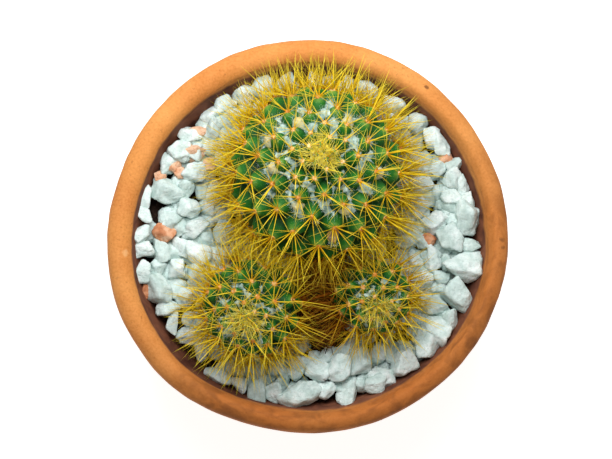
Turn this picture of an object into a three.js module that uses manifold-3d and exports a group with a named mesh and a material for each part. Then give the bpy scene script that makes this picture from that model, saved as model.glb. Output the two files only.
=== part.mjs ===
// A golden-spined cactus in a terracotta pot: a main head and two offsets stand in white
// pebbles over soil. Millimetres, +Z up. The origin is on the surface that the pot stands
// on, under the middle of the rim. +Y points to the side where the main head grows.

import * as THREE from "three";
import { mergeVertices } from "three/addons/utils/BufferGeometryUtils.js";
import Module from "manifold-3d";

const wasm = await Module();
wasm.setup();
const { Manifold, Mesh } = wasm;

// Driving dimensions of the pot
const RIM_RADIUS = 74.3;
const POT_HEIGHT = 84;
const BASE_RADIUS = 50;
const RIM_WIDTH = 8.8;
const COLLAR_HEIGHT = 17;
const COLLAR_RADIUS = 72.4;
const WALL_TOP_RADIUS = 69.8;
const EDGE = 1.5;
const WALL = 6.5;
const FLOOR = 7;
const DRAIN_RADIUS = 6;
const POT_SIDES = 44;
const LIP_STEPS = 5;

// How far the thrown pot is from round: share of the radius, number of lobes, turn in degrees
const LOBES = [
  [0.0085, 2, 33],
  [0.0077, 3, -79],
];
const ROUNDEST_SHARE = 1 - LOBES.reduce((sum, [share]) => sum + share, 0);

// Levels of the filling, and the gap that keeps touching pieces apart
const PEBBLE_BED_TOP = 71.5;
const PEBBLE_BED_DEPTH = 5;
const PEBBLE_CEILING = 79;
const GAP = 0.35;

// The buds of the main head: compass direction and angle from its crown, in degrees
const BUDS = [[194, 39], [246, 40], [300, 42], [54, 30], [112, 34], [164, 41], [347, 45], [286, 53]];
const BUD_SIDES = 6;
const BUD_PROFILE = [[0, -1.5], [1.2, -1], [1.9, 3.2], [1.5, 6], [0, 7]];

// The three heads: middle of the globe, radius to the tubercle tips, height of a tubercle,
// lean in degrees and its compass direction (0 is +X, 90 is +Y), turn of the spiral, number of
// tubercles, the polar angle that each one adds, and the lengths of a radial and a central spine
const HEADS = {
  main_head: {
    centre: [2.8, 21.6, 87.5],
    radius: 32.3,
    tubercle: 6.6,
    lean: 6,
    towards: 90,
    turn: 44,
    count: 94,
    step: 1.17,
    radial: 11.5,
    central: 15.5,
    seed: 11,
    buds: BUDS,
  },
  left_offset: {
    centre: [-20.6, -26.8, 81],
    radius: 18.6,
    tubercle: 4.4,
    lean: 19,
    towards: 243,
    turn: 75,
    count: 54,
    step: 1.95,
    radial: 9.5,
    central: 12,
    seed: 12,
  },
  right_offset: {
    centre: [23.6, -22, 79.5],
    radius: 15,
    tubercle: 3.8,
    lean: 22,
    towards: 280,
    turn: 140,
    count: 44,
    step: 2.4,
    radial: 9,
    central: 11.5,
    seed: 13,
  },
};
const GOLDEN_ANGLE = Math.PI * (3 - Math.sqrt(5));
const FIRST_TUBERCLE = 2;
const TUBERCLE_SIDES = 6;
const TUBERCLE_GIRTH = 0.66;
const TUBERCLE_ROOT = 2.2;
const AREOLE_RADIUS = 0.95;
const AREOLE_RISE = 0.3;
const LOWEST_TUBERCLE = 73.5;

// Spines: share of the full length at the crown, and how far they spread from the tubercle
const YOUNG_SHARE = 0.45;
const FULL_GROWN_ANGLE = Math.PI / 3;
const RADIAL_SPREAD = THREE.MathUtils.degToRad(62);
const CENTRAL_DROOP = THREE.MathUtils.degToRad(14);
const SPINE_VARIATION = { turn: 0.35, spread: 0.2, length: 0.3 };
const LEAST_SPREAD = THREE.MathUtils.degToRad(14);
const SPINE_CLEARANCE = 1.4;
const SPINE_MARGIN = 1;
const LONGEST_REACH = 40;
const BEND = 0.2;
const MOST_BENDS = 8;

// The neck of each stem under its globe, down into the soil
const STEM_SHARE = 0.55;
const STEM_DEPTH = 9;
const SHOULDER_ANGLE = THREE.MathUtils.degToRad(122);
const CORE_SIDES = 12;
const CORE_ARCS = 5;

// The pebbles that show best: x, y, length, width and turn in degrees of each
const SEEN_PEBBLES = [
  [-44, 38, 9.4, 6, -10], [-47, 31, 8.8, 8.2, 20], [-55, 28, 8, 6.4, 70], [-53, 20, 12.4, 9, -20],
  [-41, 24, 10.4, 7.6, 30], [-60, 15, 9.4, 5, 80], [-44, 12, 8.2, 7.6, 0], [-51, 9, 8.4, 7.2, 40],
  [-60, 8, 8.8, 4.6, -25], [-60, 0, 7.8, 6.2, 20], [-47, 4, 7.8, 5.4, -75], [-41, 3, 10, 7.6, 10],
  [-60, -5, 10, 5.8, 8], [-53, -5, 9.2, 7, -60], [-46, -4, 8.2, 5.8, -70], [-60, -13, 8.2, 6, 80],
  [-54, -11, 6.8, 6.4, 0], [-54, -19, 12.4, 9.6, -70], [-47, -12, 8.4, 6.6, 60], [-54, -27, 8.8, 6.2, 15],
  [-50, -32, 9, 4, 85], [-44, -37, 8.4, 7, 30], [-32, -50, 10.2, 5.4, -25], [-18, -55, 11, 7, 80],
  [-3, -57, 15.4, 9, 20], [4, -48, 9.6, 8.2, 0], [6, -55, 7.8, 6.6, 50], [11, -47, 10, 8.6, 75],
  [14, -56, 11, 7, 85], [19, -45, 10.6, 8.4, 70], [27, -50, 10.2, 6.4, -25], [26, -56, 8.4, 7, 10],
  [36, -47, 11.2, 9, 60], [45, -40, 11.2, 9.8, 40], [46, -33, 11.6, 9.4, -50], [54, -32, 9.2, 6.2, 75],
  [46, -24, 9.8, 7, -10], [55, -22, 13, 10, -70], [55, -10, 15.4, 11, 5], [51, -1, 10.6, 8.4, -60],
  [58, -3, 7, 5.4, 0], [57, 7, 12.6, 11, -40], [46, 5, 10.2, 7.8, 15], [52, 14, 8.4, 6.4, -20],
  [60, 13, 8.2, 7, 50], [52, 21, 9.6, 7.2, -60], [59, 20, 8.2, 6.2, 80], [54, 27, 7.4, 5.8, 60],
  [51, 36, 10, 6.2, -60], [43, 45, 8, 7.6, 0], [33, 52, 8.6, 7.2, 20], [45, 37, 8.4, 6.4, 70],
  [45, -8, 9.6, 5.8, 80], [-18, 59, 9.2, 7.6, 50], [-24, 55, 9.2, 7, 40], [-32, 51, 8.4, 6.8, 10],
  [-37, 47, 7.8, 6.6, 60], [-28, 45, 9, 7, 0], [-35, 40, 8.6, 7.2, 35], [23, 58, 8.4, 7, 0],
];

// The pebbles that fill the rest by a seeded rule, and how all of them lie
const FILL_PEBBLES = { seed: 7, tries: 2600, least: 6.5, most: 9.5, closeness: 0.77 };
const FILL_WIDTH = { least: 0.7, most: 0.95 };
const PEBBLE_FLATNESS = 0.75;
const PEBBLE_LIFT = { least: 0.1, most: 0.32 };
const PEBBLE_TILT = 0.5;
const PEBBLE_HALF = 0.55;
const PEBBLE_TOP = 0.6;
const PEBBLE_MARGIN = 0.6;

// A pebble is a block: how far out its corners are, how far they stray, and its faces
const BLOCK_CORNER = 0.76;
const BLOCK_ROUGHNESS = 0.5;
const BLOCK_SEED = 100;
const BLOCK_FACES = [
  [0, 2, 1], [1, 2, 3], [4, 5, 6], [5, 7, 6], [0, 1, 4], [1, 5, 4],
  [2, 6, 3], [3, 6, 7], [0, 4, 2], [2, 4, 6], [1, 3, 5], [3, 7, 5],
];

// Corners closer than this are one corner
const MERGE_DISTANCE = 1e-3;

// Random numbers that come out the same in every run (mulberry32)
function seeded(seed) {
  let state = seed;
  return () => {
    state = (state + 0x6d2b79f5) | 0;
    let t = Math.imul(state ^ (state >>> 15), 1 | state);
    t = (t + Math.imul(t ^ (t >>> 7), 61 | t)) ^ t;
    return ((t ^ (t >>> 14)) >>> 0) / 4294967296;
  };
}

function solid(geometry) {
  const bare = geometry.index ? geometry.toNonIndexed() : geometry.clone();
  bare.deleteAttribute("normal");
  bare.deleteAttribute("uv");
  const merged = mergeVertices(bare, MERGE_DISTANCE);
  const vertProperties = new Float32Array(merged.attributes.position.array);
  const triVerts = new Uint32Array(merged.index.array);
  return new Manifold(new Mesh({ numProp: 3, vertProperties, triVerts }));
}

function geometryOf(made) {
  const { numProp, vertProperties, triVerts } = made.getMesh();
  const geometry = new THREE.BufferGeometry();
  const interleaved = new THREE.InterleavedBuffer(vertProperties, numProp);
  geometry.setAttribute("position", new THREE.InterleavedBufferAttribute(interleaved, 3, 0));
  geometry.setIndex(new THREE.BufferAttribute(triVerts, 1));
  return geometry.toNonIndexed();
}

// Fuses pieces into their one outer shell: sealed hollows are filled, loose scraps dropped
function fused(pieces) {
  const shells = solid(geometryOf(Manifold.union(pieces))).decompose();
  return shells.reduce((best, shell) => (shell.volume() > best.volume() ? shell : best));
}

// The thrown pot's uneven outline, full at the rim and fading to a true circle at the base
function outOfRound(geometry) {
  const position = geometry.attributes.position;
  for (let i = 0; i < position.count; i++) {
    const [x, y, z] = [position.getX(i), position.getY(i), position.getZ(i)];
    const angle = Math.atan2(y, x);
    const wave = LOBES.reduce(
      (sum, [share, lobes, turn]) =>
        sum + share * Math.cos(lobes * angle - THREE.MathUtils.degToRad(turn)),
      0,
    );
    const scale = 1 + wave * THREE.MathUtils.clamp(z / POT_HEIGHT, 0, 1);
    position.setXY(i, x * scale, y * scale);
  }
  return geometry;
}

// A closed body from its corners and the triangles between them
function polyhedron(points, faces) {
  const vertProperties = new Float32Array(points.flatMap((point) => point.toArray()));
  const triVerts = new Uint32Array(faces.flat());
  return new Manifold(new Mesh({ numProp: 3, vertProperties, triVerts }));
}

// A body turned about +Z from a profile of [radius, height] points, listed bottom to top outside
function turned(profile, sides) {
  const points = profile.map(([radius, height]) => new THREE.Vector2(radius, height));
  return new THREE.LatheGeometry(points, sides).rotateX(Math.PI / 2);
}

const innerRimRadius = RIM_RADIUS - RIM_WIDTH;
const innerFloorRadius = BASE_RADIUS - WALL;
const lipRadius = RIM_WIDTH / 2;
const lipHeight = POT_HEIGHT - lipRadius;

function innerRadius(height) {
  const share = (height - FLOOR) / (lipHeight - FLOOR);
  return THREE.MathUtils.lerp(innerFloorRadius, innerRimRadius, share);
}

function lipPoints() {
  return Array.from({ length: LIP_STEPS + 1 }, (_, i) => {
    const angle = (Math.PI * i) / LIP_STEPS;
    const radius = RIM_RADIUS - lipRadius + lipRadius * Math.cos(angle);
    return [radius, lipHeight + lipRadius * Math.sin(angle)];
  });
}

function potGeometry() {
  const collarBottom = POT_HEIGHT - COLLAR_HEIGHT;
  const profile = [
    [DRAIN_RADIUS, 0],
    [BASE_RADIUS - EDGE, 0],
    [BASE_RADIUS, EDGE],
    [WALL_TOP_RADIUS, collarBottom - EDGE],
    [COLLAR_RADIUS, collarBottom],
    ...lipPoints(),
    [innerFloorRadius, FLOOR],
    [DRAIN_RADIUS, FLOOR],
    [DRAIN_RADIUS, 0],
  ];
  return outOfRound(turned(profile, POT_SIDES));
}

function fillingGeometry(bottom, top, sides) {
  const profile = [
    [0, bottom],
    [innerRadius(bottom) - GAP, bottom],
    [innerRadius(top) - GAP, top],
    [0, top],
  ];
  return outOfRound(turned(profile, sides));
}

// A direction by its angle from +Z and its angle round +Z
function directionAt(polar, around) {
  const ring = Math.sin(polar);
  return new THREE.Vector3(ring * Math.cos(around), ring * Math.sin(around), Math.cos(polar));
}

// Places a head's own frame, whose origin is the middle of the globe and +Z its axis
function headFrame({ centre, lean, towards, turn }) {
  const [leanAngle, compass, spin] = [lean, towards, turn].map(THREE.MathUtils.degToRad);
  const axis = new THREE.Vector3(-Math.sin(compass), Math.cos(compass), 0);
  return new THREE.Matrix4()
    .makeTranslation(...centre)
    .multiply(new THREE.Matrix4().makeRotationAxis(axis, leanAngle))
    .multiply(new THREE.Matrix4().makeRotationZ(spin));
}

// The green globe under the tubercles with its neck down into the soil, grown by a margin
function coreGeometry(head, margin) {
  const radius = head.radius - head.tubercle + margin;
  const neck = (head.radius - head.tubercle) * STEM_SHARE + margin;
  const bottom = PEBBLE_BED_TOP - PEBBLE_BED_DEPTH - STEM_DEPTH - margin - head.centre[2];
  const arc = Array.from({ length: CORE_ARCS + 1 }, (_, i) => {
    const polar = SHOULDER_ANGLE * (1 - i / CORE_ARCS);
    return [i < CORE_ARCS ? radius * Math.sin(polar) : 0, radius * Math.cos(polar)];
  });
  const profile = [[0, bottom], [neck, bottom], [neck, bottom + STEM_DEPTH], ...arc];
  return turned(profile, CORE_SIDES).translate(...head.centre);
}

// Where each tubercle stands: the golden-angle spiral from the crown down to the pebbles
function tuberclesOf(head) {
  const frame = headFrame(head);
  const crown = new THREE.Vector3(0, 0, 1).transformDirection(frame);
  const step = THREE.MathUtils.degToRad(head.step);
  const placed = Array.from({ length: head.count }, (_, i) => {
    const polar = step * (i + FIRST_TUBERCLE);
    const axis = directionAt(polar, i * GOLDEN_ANGLE).transformDirection(frame);
    const down = axis.clone().multiplyScalar(axis.dot(crown)).sub(crown).normalize();
    return {
      axis,
      down,
      side: new THREE.Vector3().crossVectors(axis, down),
      tip: new THREE.Vector3(...head.centre).addScaledVector(axis, head.radius),
      spacing: head.radius * Math.sqrt(2 * Math.PI * Math.sin(polar) * step),
      age: THREE.MathUtils.lerp(YOUNG_SHARE, 1, Math.min(1, polar / FULL_GROWN_ANGLE)),
    };
  });
  return placed.filter(({ tip }) => tip.z > LOWEST_TUBERCLE);
}

function ringAround({ axis, down, side, tip }, radius, depth) {
  return Array.from({ length: TUBERCLE_SIDES }, (_, i) => {
    const around = (2 * Math.PI * i) / TUBERCLE_SIDES;
    return tip.clone()
      .addScaledVector(axis, -depth)
      .addScaledVector(down, radius * Math.cos(around))
      .addScaledVector(side, radius * Math.sin(around));
  });
}

// The corners of the areole on a tubercle: its rim, and the peak in its middle
function areoleOf(tubercle) {
  const rim = ringAround(tubercle, AREOLE_RADIUS * Math.sqrt(tubercle.age), 0);
  const peak = tubercle.tip.clone().addScaledVector(tubercle.axis, AREOLE_RISE);
  return rim.map((corner, i) => [corner, rim[(i + 1) % TUBERCLE_SIDES], peak]);
}

function tubercleSolid(tubercle, areole, head) {
  const foot = ringAround(tubercle, tubercle.spacing * TUBERCLE_GIRTH, head.tubercle + TUBERCLE_ROOT);
  const rim = areole.map(([corner]) => corner);
  const points = [...foot, ...rim, areole[0][2]];
  const n = TUBERCLE_SIDES;
  const faces = foot.flatMap((_, i) => {
    const next = (i + 1) % n;
    const flank = [[i, next, n + next], [i, n + next, n + i]];
    return [...flank, [n + i, n + next, 2 * n]];
  });
  for (let i = 1; i < n - 1; i++) faces.push([0, i + 1, i]);
  return polyhedron(points, faces);
}

// The spines of one areole, one on each of its faces: a ring of radials and one central
function spineFan({ axis, down, side, age }, head, random) {
  const radials = TUBERCLE_SIDES - 1;
  const upperFace = (Math.PI * radials) / TUBERCLE_SIDES;
  return Array.from({ length: TUBERCLE_SIDES }, (_, i) => {
    const central = i === radials;
    const evenly = upperFace + (2 * Math.PI * (i - (radials - 1) / 2)) / radials;
    const around = central ? 0 : evenly;
    const jitter = SPINE_VARIATION.turn * (random() - 0.5);
    const wander = SPINE_VARIATION.spread * (random() - 0.5);
    const spread = (central ? CENTRAL_DROOP : RADIAL_SPREAD) + wander;
    const direction = axis.clone().multiplyScalar(Math.cos(spread))
      .addScaledVector(down, Math.sin(spread) * Math.cos(around + jitter))
      .addScaledVector(side, Math.sin(spread) * Math.sin(around + jitter));
    const full = central ? head.central : head.radial;
    return { direction, length: full * age * (1 + SPINE_VARIATION.length * (random() - 0.5)) };
  });
}

// Whether a spine keeps clear of the pot, the pebbles and the other heads with their spines
function isClear(spine, others) {
  const samples = [0.15, 0.4, 0.6, 0.8, 1].map((share) => spine.at(share, new THREE.Vector3()));
  const clearOfPot = samples.every((point) => {
    const space = innerRadius(point.z) * ROUNDEST_SHARE - SPINE_MARGIN;
    return point.z > POT_HEIGHT + SPINE_MARGIN || Math.hypot(point.x, point.y) < space;
  });
  const clearOfPebbles = samples.every((point) => point.z > PEBBLE_CEILING + SPINE_MARGIN);
  const clearOfOthers = others.every(({ globe, spines }) => {
    const middle = new THREE.Vector3(...globe.centre);
    const nearest = spine.closestPointToPoint(middle, true, new THREE.Vector3());
    const apart = nearest.distanceTo(middle) > globe.radius + SPINE_MARGIN;
    return apart && spines.every((placed) => distanceBetween(spine, placed) > SPINE_CLEARANCE);
  });
  return clearOfPot && clearOfPebbles && clearOfOthers;
}

// The distance between two spines, by stepping along the first one
function distanceBetween(first, second) {
  if (first.start.distanceTo(second.start) > LONGEST_REACH) return Infinity;
  const steps = 24;
  const point = new THREE.Vector3();
  const near = new THREE.Vector3();
  const distances = Array.from({ length: steps + 1 }, (_, i) => {
    first.at(i / steps, point);
    return point.distanceTo(second.closestPointToPoint(point, true, near));
  });
  return Math.min(...distances);
}

// A spine is bent upwards until it is clear, or left out where it never is
function placedSpine(base, { direction, length }, siblings, others) {
  const bent = direction.clone();
  for (let bends = 0; bends <= MOST_BENDS; bends++) {
    const spine = new THREE.Line3(base, base.clone().addScaledVector(bent, length));
    const spread = siblings.every((sibling) => {
      const theirs = sibling.delta(new THREE.Vector3());
      return theirs.angleTo(bent) > LEAST_SPREAD;
    });
    if (spread && isClear(spine, others)) return spine;
    bent.z += BEND;
    bent.normalize();
  }
  return null;
}

function spineSolid([first, second, third], spine) {
  return polyhedron([first, second, third, spine.end], [[0, 2, 1], [0, 1, 3], [1, 2, 3], [2, 0, 3]]);
}

// A bud stands in the gap between the three tubercles nearest to where the plant bears it
function budSolid([compass, fromCrown], tubercles, head) {
  const [around, polar] = [compass - head.turn, fromCrown].map(THREE.MathUtils.degToRad);
  const wanted = directionAt(polar, around).transformDirection(headFrame(head));
  const nearest = [...tubercles].sort((a, b) => b.axis.dot(wanted) - a.axis.dot(wanted)).slice(0, 3);
  const axis = nearest.reduce((sum, each) => sum.add(each.axis), new THREE.Vector3()).normalize();
  const foot = axis.clone().multiplyScalar(head.radius - head.tubercle);
  const turn = new THREE.Quaternion().setFromUnitVectors(new THREE.Vector3(0, 0, 1), axis);
  const bud = turned(BUD_PROFILE, BUD_SIDES).applyQuaternion(turn).translate(foot.x, foot.y, foot.z);
  return solid(bud.translate(...head.centre));
}

function buildHead(head, others) {
  const random = seeded(head.seed);
  const tubercles = tuberclesOf(head);
  const spines = [];
  const pieces = [solid(coreGeometry(head, 0))];
  for (const tubercle of tubercles) {
    const areole = areoleOf(tubercle);
    pieces.push(tubercleSolid(tubercle, areole, head));
    const fan = spineFan(tubercle, head, random);
    const siblings = [];
    areole.forEach((face, i) => {
      const spine = placedSpine(tubercle.tip, fan[i], siblings, others);
      if (!spine) return;
      siblings.push(spine);
      pieces.push(spineSolid(face, spine));
    });
    spines.push(...siblings);
  }
  for (const bud of head.buds ?? []) pieces.push(budSolid(bud, tubercles, head));
  return { spines, made: fused(pieces) };
}

// A crushed stone: a block with its eight corners knocked about
function pebbleSolid({ x, y, z, length, width, turn, tilt, seed }) {
  const random = seeded(seed);
  const half = new THREE.Vector3(length / 2, width / 2, (PEBBLE_FLATNESS * width) / 2);
  const corners = [-1, 1].flatMap((k) => [-1, 1].flatMap((j) => [-1, 1].map((i) => {
    const stray = () => BLOCK_CORNER + BLOCK_ROUGHNESS * (random() - 0.5);
    return new THREE.Vector3(i * stray(), j * stray(), k * stray()).multiply(half);
  })));
  const frame = new THREE.Matrix4()
    .makeTranslation(x, y, z)
    .multiply(new THREE.Matrix4().makeRotationZ(THREE.MathUtils.degToRad(turn)))
    .multiply(new THREE.Matrix4().makeRotationX(tilt));
  return polyhedron(corners.map((corner) => corner.applyMatrix4(frame)), BLOCK_FACES);
}

// How far a pebble's middle may lie out, and whether it keeps clear of the heads
function pushedIn(x, y, width) {
  const most = innerRadius(PEBBLE_BED_TOP) * ROUNDEST_SHARE - GAP - PEBBLE_HALF * width;
  const out = Math.hypot(x, y);
  return out > most ? [(x * most) / out, (y * most) / out] : [x, y];
}

function clearOfHeads(x, y, size) {
  return Object.values(HEADS).every(({ centre, radius }) => {
    const above = Math.max(0, centre[2] - PEBBLE_CEILING);
    const girth = Math.sqrt(radius ** 2 - above ** 2);
    return Math.hypot(x - centre[0], y - centre[1]) > girth + PEBBLE_MARGIN + PEBBLE_HALF * size;
  });
}

function placedPebbles() {
  const random = seeded(FILL_PEBBLES.seed);
  const placed = [];
  const place = (x, y, length, width, turn) => {
    [x, y] = pushedIn(x, y, width);
    if (!clearOfHeads(x, y, length)) return;
    const height = PEBBLE_FLATNESS * width;
    const lift = THREE.MathUtils.lerp(PEBBLE_LIFT.least, PEBBLE_LIFT.most, random()) * height;
    const z = Math.min(PEBBLE_BED_TOP + lift, PEBBLE_CEILING - PEBBLE_TOP * height);
    const tilt = PEBBLE_TILT * (random() - 0.5);
    placed.push({ x, y, z, length, width, turn, tilt, seed: BLOCK_SEED + placed.length });
  };
  SEEN_PEBBLES.forEach((row) => place(...row));
  for (let i = 0; i < FILL_PEBBLES.tries; i++) {
    const around = random() * 2 * Math.PI;
    const out = Math.sqrt(random()) * innerRadius(PEBBLE_BED_TOP);
    const length = THREE.MathUtils.lerp(FILL_PEBBLES.least, FILL_PEBBLES.most, random());
    const [x, y] = pushedIn(out * Math.cos(around), out * Math.sin(around), length);
    const free = placed.every((other) => {
      const apart = Math.hypot(x - other.x, y - other.y);
      return apart > (FILL_PEBBLES.closeness * (length + (other.length + other.width) / 2)) / 2;
    });
    const width = length * THREE.MathUtils.lerp(FILL_WIDTH.least, FILL_WIDTH.most, random());
    const turn = 180 * random();
    if (free) place(x, y, length, width, turn);
  }
  return placed;
}

// Each head keeps clear of the other globes, and of the spines that are already there
const grown = {};
for (const [name, head] of Object.entries(HEADS)) {
  const others = Object.keys(HEADS).filter((other) => other !== name);
  const neighbours = others.map((other) => ({
    globe: HEADS[other],
    spines: grown[other]?.spines ?? [],
  }));
  grown[name] = buildHead(head, neighbours);
}

// Each head stands in a plain hole through the pebble bed and into the soil
const stemHoles = Manifold.union(
  Object.values(HEADS).map((head) => solid(coreGeometry(head, GAP))),
);

function pebbleBed() {
  const bottom = PEBBLE_BED_TOP - PEBBLE_BED_DEPTH;
  const bed = solid(fillingGeometry(bottom, PEBBLE_BED_TOP, POT_SIDES));
  const pebbles = placedPebbles().map(pebbleSolid);
  const space = solid(fillingGeometry(bottom - GAP, PEBBLE_CEILING, POT_SIDES));
  return fused([Manifold.union([bed, ...pebbles]).intersect(space).subtract(stemHoles)]);
}

function soilBody() {
  const top = PEBBLE_BED_TOP - PEBBLE_BED_DEPTH - GAP;
  return solid(fillingGeometry(FLOOR + GAP, top, POT_SIDES)).subtract(stemHoles);
}

function material(color, roughness) {
  return new THREE.MeshStandardMaterial({ color, roughness, metalness: 0 });
}

const TERRACOTTA = material(0xe08b46, 0.85);
const SOIL = material(0x3b2a20, 0.95);
const PEBBLE = material(0xdfe7e6, 0.9);
const CACTUS = material(0x2c6b35, 0.6);

const group = new THREE.Group();

function addNode(name, geometry, look) {
  const mesh = new THREE.Mesh(geometry, look);
  mesh.name = name;
  group.add(mesh);
}

addNode("pot", potGeometry(), TERRACOTTA);
addNode("soil", geometryOf(soilBody()), SOIL);
addNode("white_pebbles", geometryOf(pebbleBed()), PEBBLE);
for (const [name, { made }] of Object.entries(grown)) {
  addNode(name, geometryOf(made), CACTUS);
}

export default group;
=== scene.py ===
"""The looks of a golden-spined cactus in a terracotta pot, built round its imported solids.

The sizes are millimetres in the part's own frame, and MM turns them into metres where a
mesh, a light or the camera is made. +Z is up and +Y is the top of the picture.
"""

import math

import bmesh
import bpy
import numpy as np
from mathutils import Matrix, Vector


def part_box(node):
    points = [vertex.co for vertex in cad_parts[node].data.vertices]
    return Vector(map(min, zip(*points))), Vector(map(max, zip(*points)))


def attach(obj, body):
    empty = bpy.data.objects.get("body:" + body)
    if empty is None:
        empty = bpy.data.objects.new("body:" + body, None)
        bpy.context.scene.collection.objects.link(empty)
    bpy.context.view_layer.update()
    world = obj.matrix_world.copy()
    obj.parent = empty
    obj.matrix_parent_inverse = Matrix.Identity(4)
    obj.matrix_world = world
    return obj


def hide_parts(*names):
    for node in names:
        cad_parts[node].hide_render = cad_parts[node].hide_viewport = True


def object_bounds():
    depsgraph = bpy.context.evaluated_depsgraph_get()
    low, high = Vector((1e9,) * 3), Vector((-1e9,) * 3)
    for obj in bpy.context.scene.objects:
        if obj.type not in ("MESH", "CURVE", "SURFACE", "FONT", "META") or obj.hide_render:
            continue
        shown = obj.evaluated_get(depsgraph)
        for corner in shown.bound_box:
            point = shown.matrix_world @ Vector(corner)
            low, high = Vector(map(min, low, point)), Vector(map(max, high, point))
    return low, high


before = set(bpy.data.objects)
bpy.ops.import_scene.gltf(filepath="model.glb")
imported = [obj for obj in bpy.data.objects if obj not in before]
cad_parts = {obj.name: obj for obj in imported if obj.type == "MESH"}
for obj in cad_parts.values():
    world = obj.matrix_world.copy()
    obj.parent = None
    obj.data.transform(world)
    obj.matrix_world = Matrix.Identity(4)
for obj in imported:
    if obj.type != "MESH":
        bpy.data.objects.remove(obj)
cad_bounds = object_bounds()

MM = 0.001

# The pot, as in the solids
RIM_RADIUS = 74.3
POT_HEIGHT = 84
BASE_RADIUS = 50
RIM_WIDTH = 8.8
COLLAR_HEIGHT = 17
COLLAR_RADIUS = 72.4
WALL_TOP_RADIUS = 69.8
EDGE = 1.5
WALL = 6.5
FLOOR = 7
DRAIN_RADIUS = 6
LOBES = ((0.0085, 2, 33), (0.0077, 3, -79))
ROUNDEST_SHARE = 1 - sum(share for share, _, _ in LOBES)
LIP_RADIUS = RIM_WIDTH / 2
LIP_HEIGHT = POT_HEIGHT - LIP_RADIUS
INNER_RIM_RADIUS = RIM_RADIUS - RIM_WIDTH
POT_SIDES = 200
LIP_POINTS = 17
# How much longer the brushed streaks are round the pot than across its wall
STREAK_STRETCH = 1.7

# The hand-made surface: depth, waves and start of the throwing lines, the seed and wavelength of
# their wandering, the seed, wavelength and depth of the dents, how far all of it lies inside the
# plain form, and the height over which it sets in at the foot
THROWING_DEPTH = 0.1
THROWING_WAVES = 1.7
THROWING_START = (2, 8)
THROWING_WANDER = (3, 90)
POT_DENTS = ((4, 34, 0.22), (5, 9, 0.07))
SURFACE_INSET = 0.45
FOOT_HEIGHT = 3

# Smaller waves of the hand-finished rim, on top of the lobes: share, waves and turn in degrees
RIM_WAVES = ((0.0034, 2, 78), (0.0013, 4, 91), (0.001, 5, 29), (0.0012, 7, -166), (0.001, 8, 84))

# Levels of the filling, as in the solids
PEBBLE_BED_TOP = 71.5
PEBBLE_CEILING = 79
SOIL_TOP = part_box("soil")[1].z / MM
GAP = 0.35

# The three heads, placed and grown as in the solids. Lean, towards, turn, step and tuft are in
# degrees, and a bud is a compass angle and an angle from the crown. Crowd, reach and wool are
# shares of spines, of their length and of wool. Fineness is how often a head's ball is divided.
BUDS = ((194, 39), (246, 40), (300, 42), (54, 30), (112, 34), (164, 41), (347, 45), (285, 61))
OFFSET = {"buds": (), "fineness": 6, "reach": 1.2, "tuft": 12.5, "wool": 0.78}
HEADS = {
    "main_head": {
        "centre": (2.8, 21.6, 87.5), "radius": 32.3, "tubercle": 6.6,
        "lean": 6, "towards": 90, "turn": 44, "count": 94, "step": 1.17,
        "radial": 11.5, "central": 15.5, "seed": 11, "crowd": 1.0,
        "buds": BUDS, "fineness": 7, "reach": 1.0, "tuft": 8.5, "wool": 1.0,
    },
    "left_offset": {
        "centre": (-20.6, -26.8, 81), "radius": 18.6, "tubercle": 4.4,
        "lean": 19, "towards": 243, "turn": 75, "count": 54, "step": 1.95,
        "radial": 9.5, "central": 12, "seed": 12, "crowd": 0.88, **OFFSET,
    },
    "right_offset": {
        "centre": (23.6, -22, 79.5), "radius": 15, "tubercle": 3.8,
        "lean": 22, "towards": 280, "turn": 140, "count": 44, "step": 2.4,
        "radial": 9, "central": 11.5, "seed": 13, "crowd": 0.75, **OFFSET,
    },
}

# What the random draws start from. Those of a head are added to its own seed, and those of the
# stones and of the areoles' fluff to the number of the stone or areole.
SEEDS = {
    "pebbles": 21, "top_stones": 500, "under_stones": 2500, "gap_stones": 4000, "chips": 4500,
    "areoles": 40, "fluff": 900, "spines": 60, "wool": 90, "hairs": 100, "tuft": 120,
    "tuft_lumps": 121, "litter": 140,
}

# A bud: how deep it stands, which way its first rib faces, the start, stretch and fullness of its
# swelling, its petals, how much they stand out and where they begin, the wool round its shoulder,
# and how brown the last one has dried
BUD_RADIUS = 2.5
BUD_LENGTH = 8.8
BUD_SINK = 1
BUD_FACING = (0.3, 0.2, 0.9)
BUD_ROWS = 14
BUD_SIDES = 24
BUD_SWELL = (0.12, 1.12, 0.6)
BUD_PETALS = 8
PETAL_DEPTH = 0.14
PETAL_START = (0.35, 0.8)
BUD_HAIRS = 70
BUD_SHOULDER = 0.72
BUD_HAIR_FOOT = 0.7
BUD_HAIR_OUT = 0.6
BUD_HAIR_UP = 1.4
BUD_HAIR_LENGTH = (0.7, 1.8)
DRIED = 0.7

# The tubercles: the spiral they stand in, their size, how low they go, how young they are at the
# crown and the angle from it at which they are full grown
GOLDEN_ANGLE = math.pi * (3 - math.sqrt(5))
FIRST_TUBERCLE = 2
TUBERCLE_GIRTH = 0.66
TUBERCLE_ROOT = 2.2
AREOLE_RADIUS = 0.95
LOWEST_TUBERCLE = 73.5
YOUNG_SHARE = 0.45
FULL_GROWN_ANGLE = math.pi / 3

# The skin: how steep a tubercle is, how sharply neighbours meet, how far they rise at most, the
# wavelength and depth of its bumps, and from what angle to what it turns old, by what share
TUBERCLE_SLOPE = 1.25
TUBERCLE_MEETING = 9
MOST_RISE = 1.04
SKIN_BUMPS = (5, 0.12)
OLD_SKIN = (math.radians(88), math.radians(112))
OLD_SKIN_SHARE = 0.8

# The stem under a head, as shares of the head or in millimetres
STEM_SIDES = 32
STEM_SHARE = 0.55
STEM_DEPTH = 14
STEM_BOTTOM = SOIL_TOP + GAP - 9
STEM_CENTRE = 0.01
LOW_STEM_SHARE = 0.8

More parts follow.
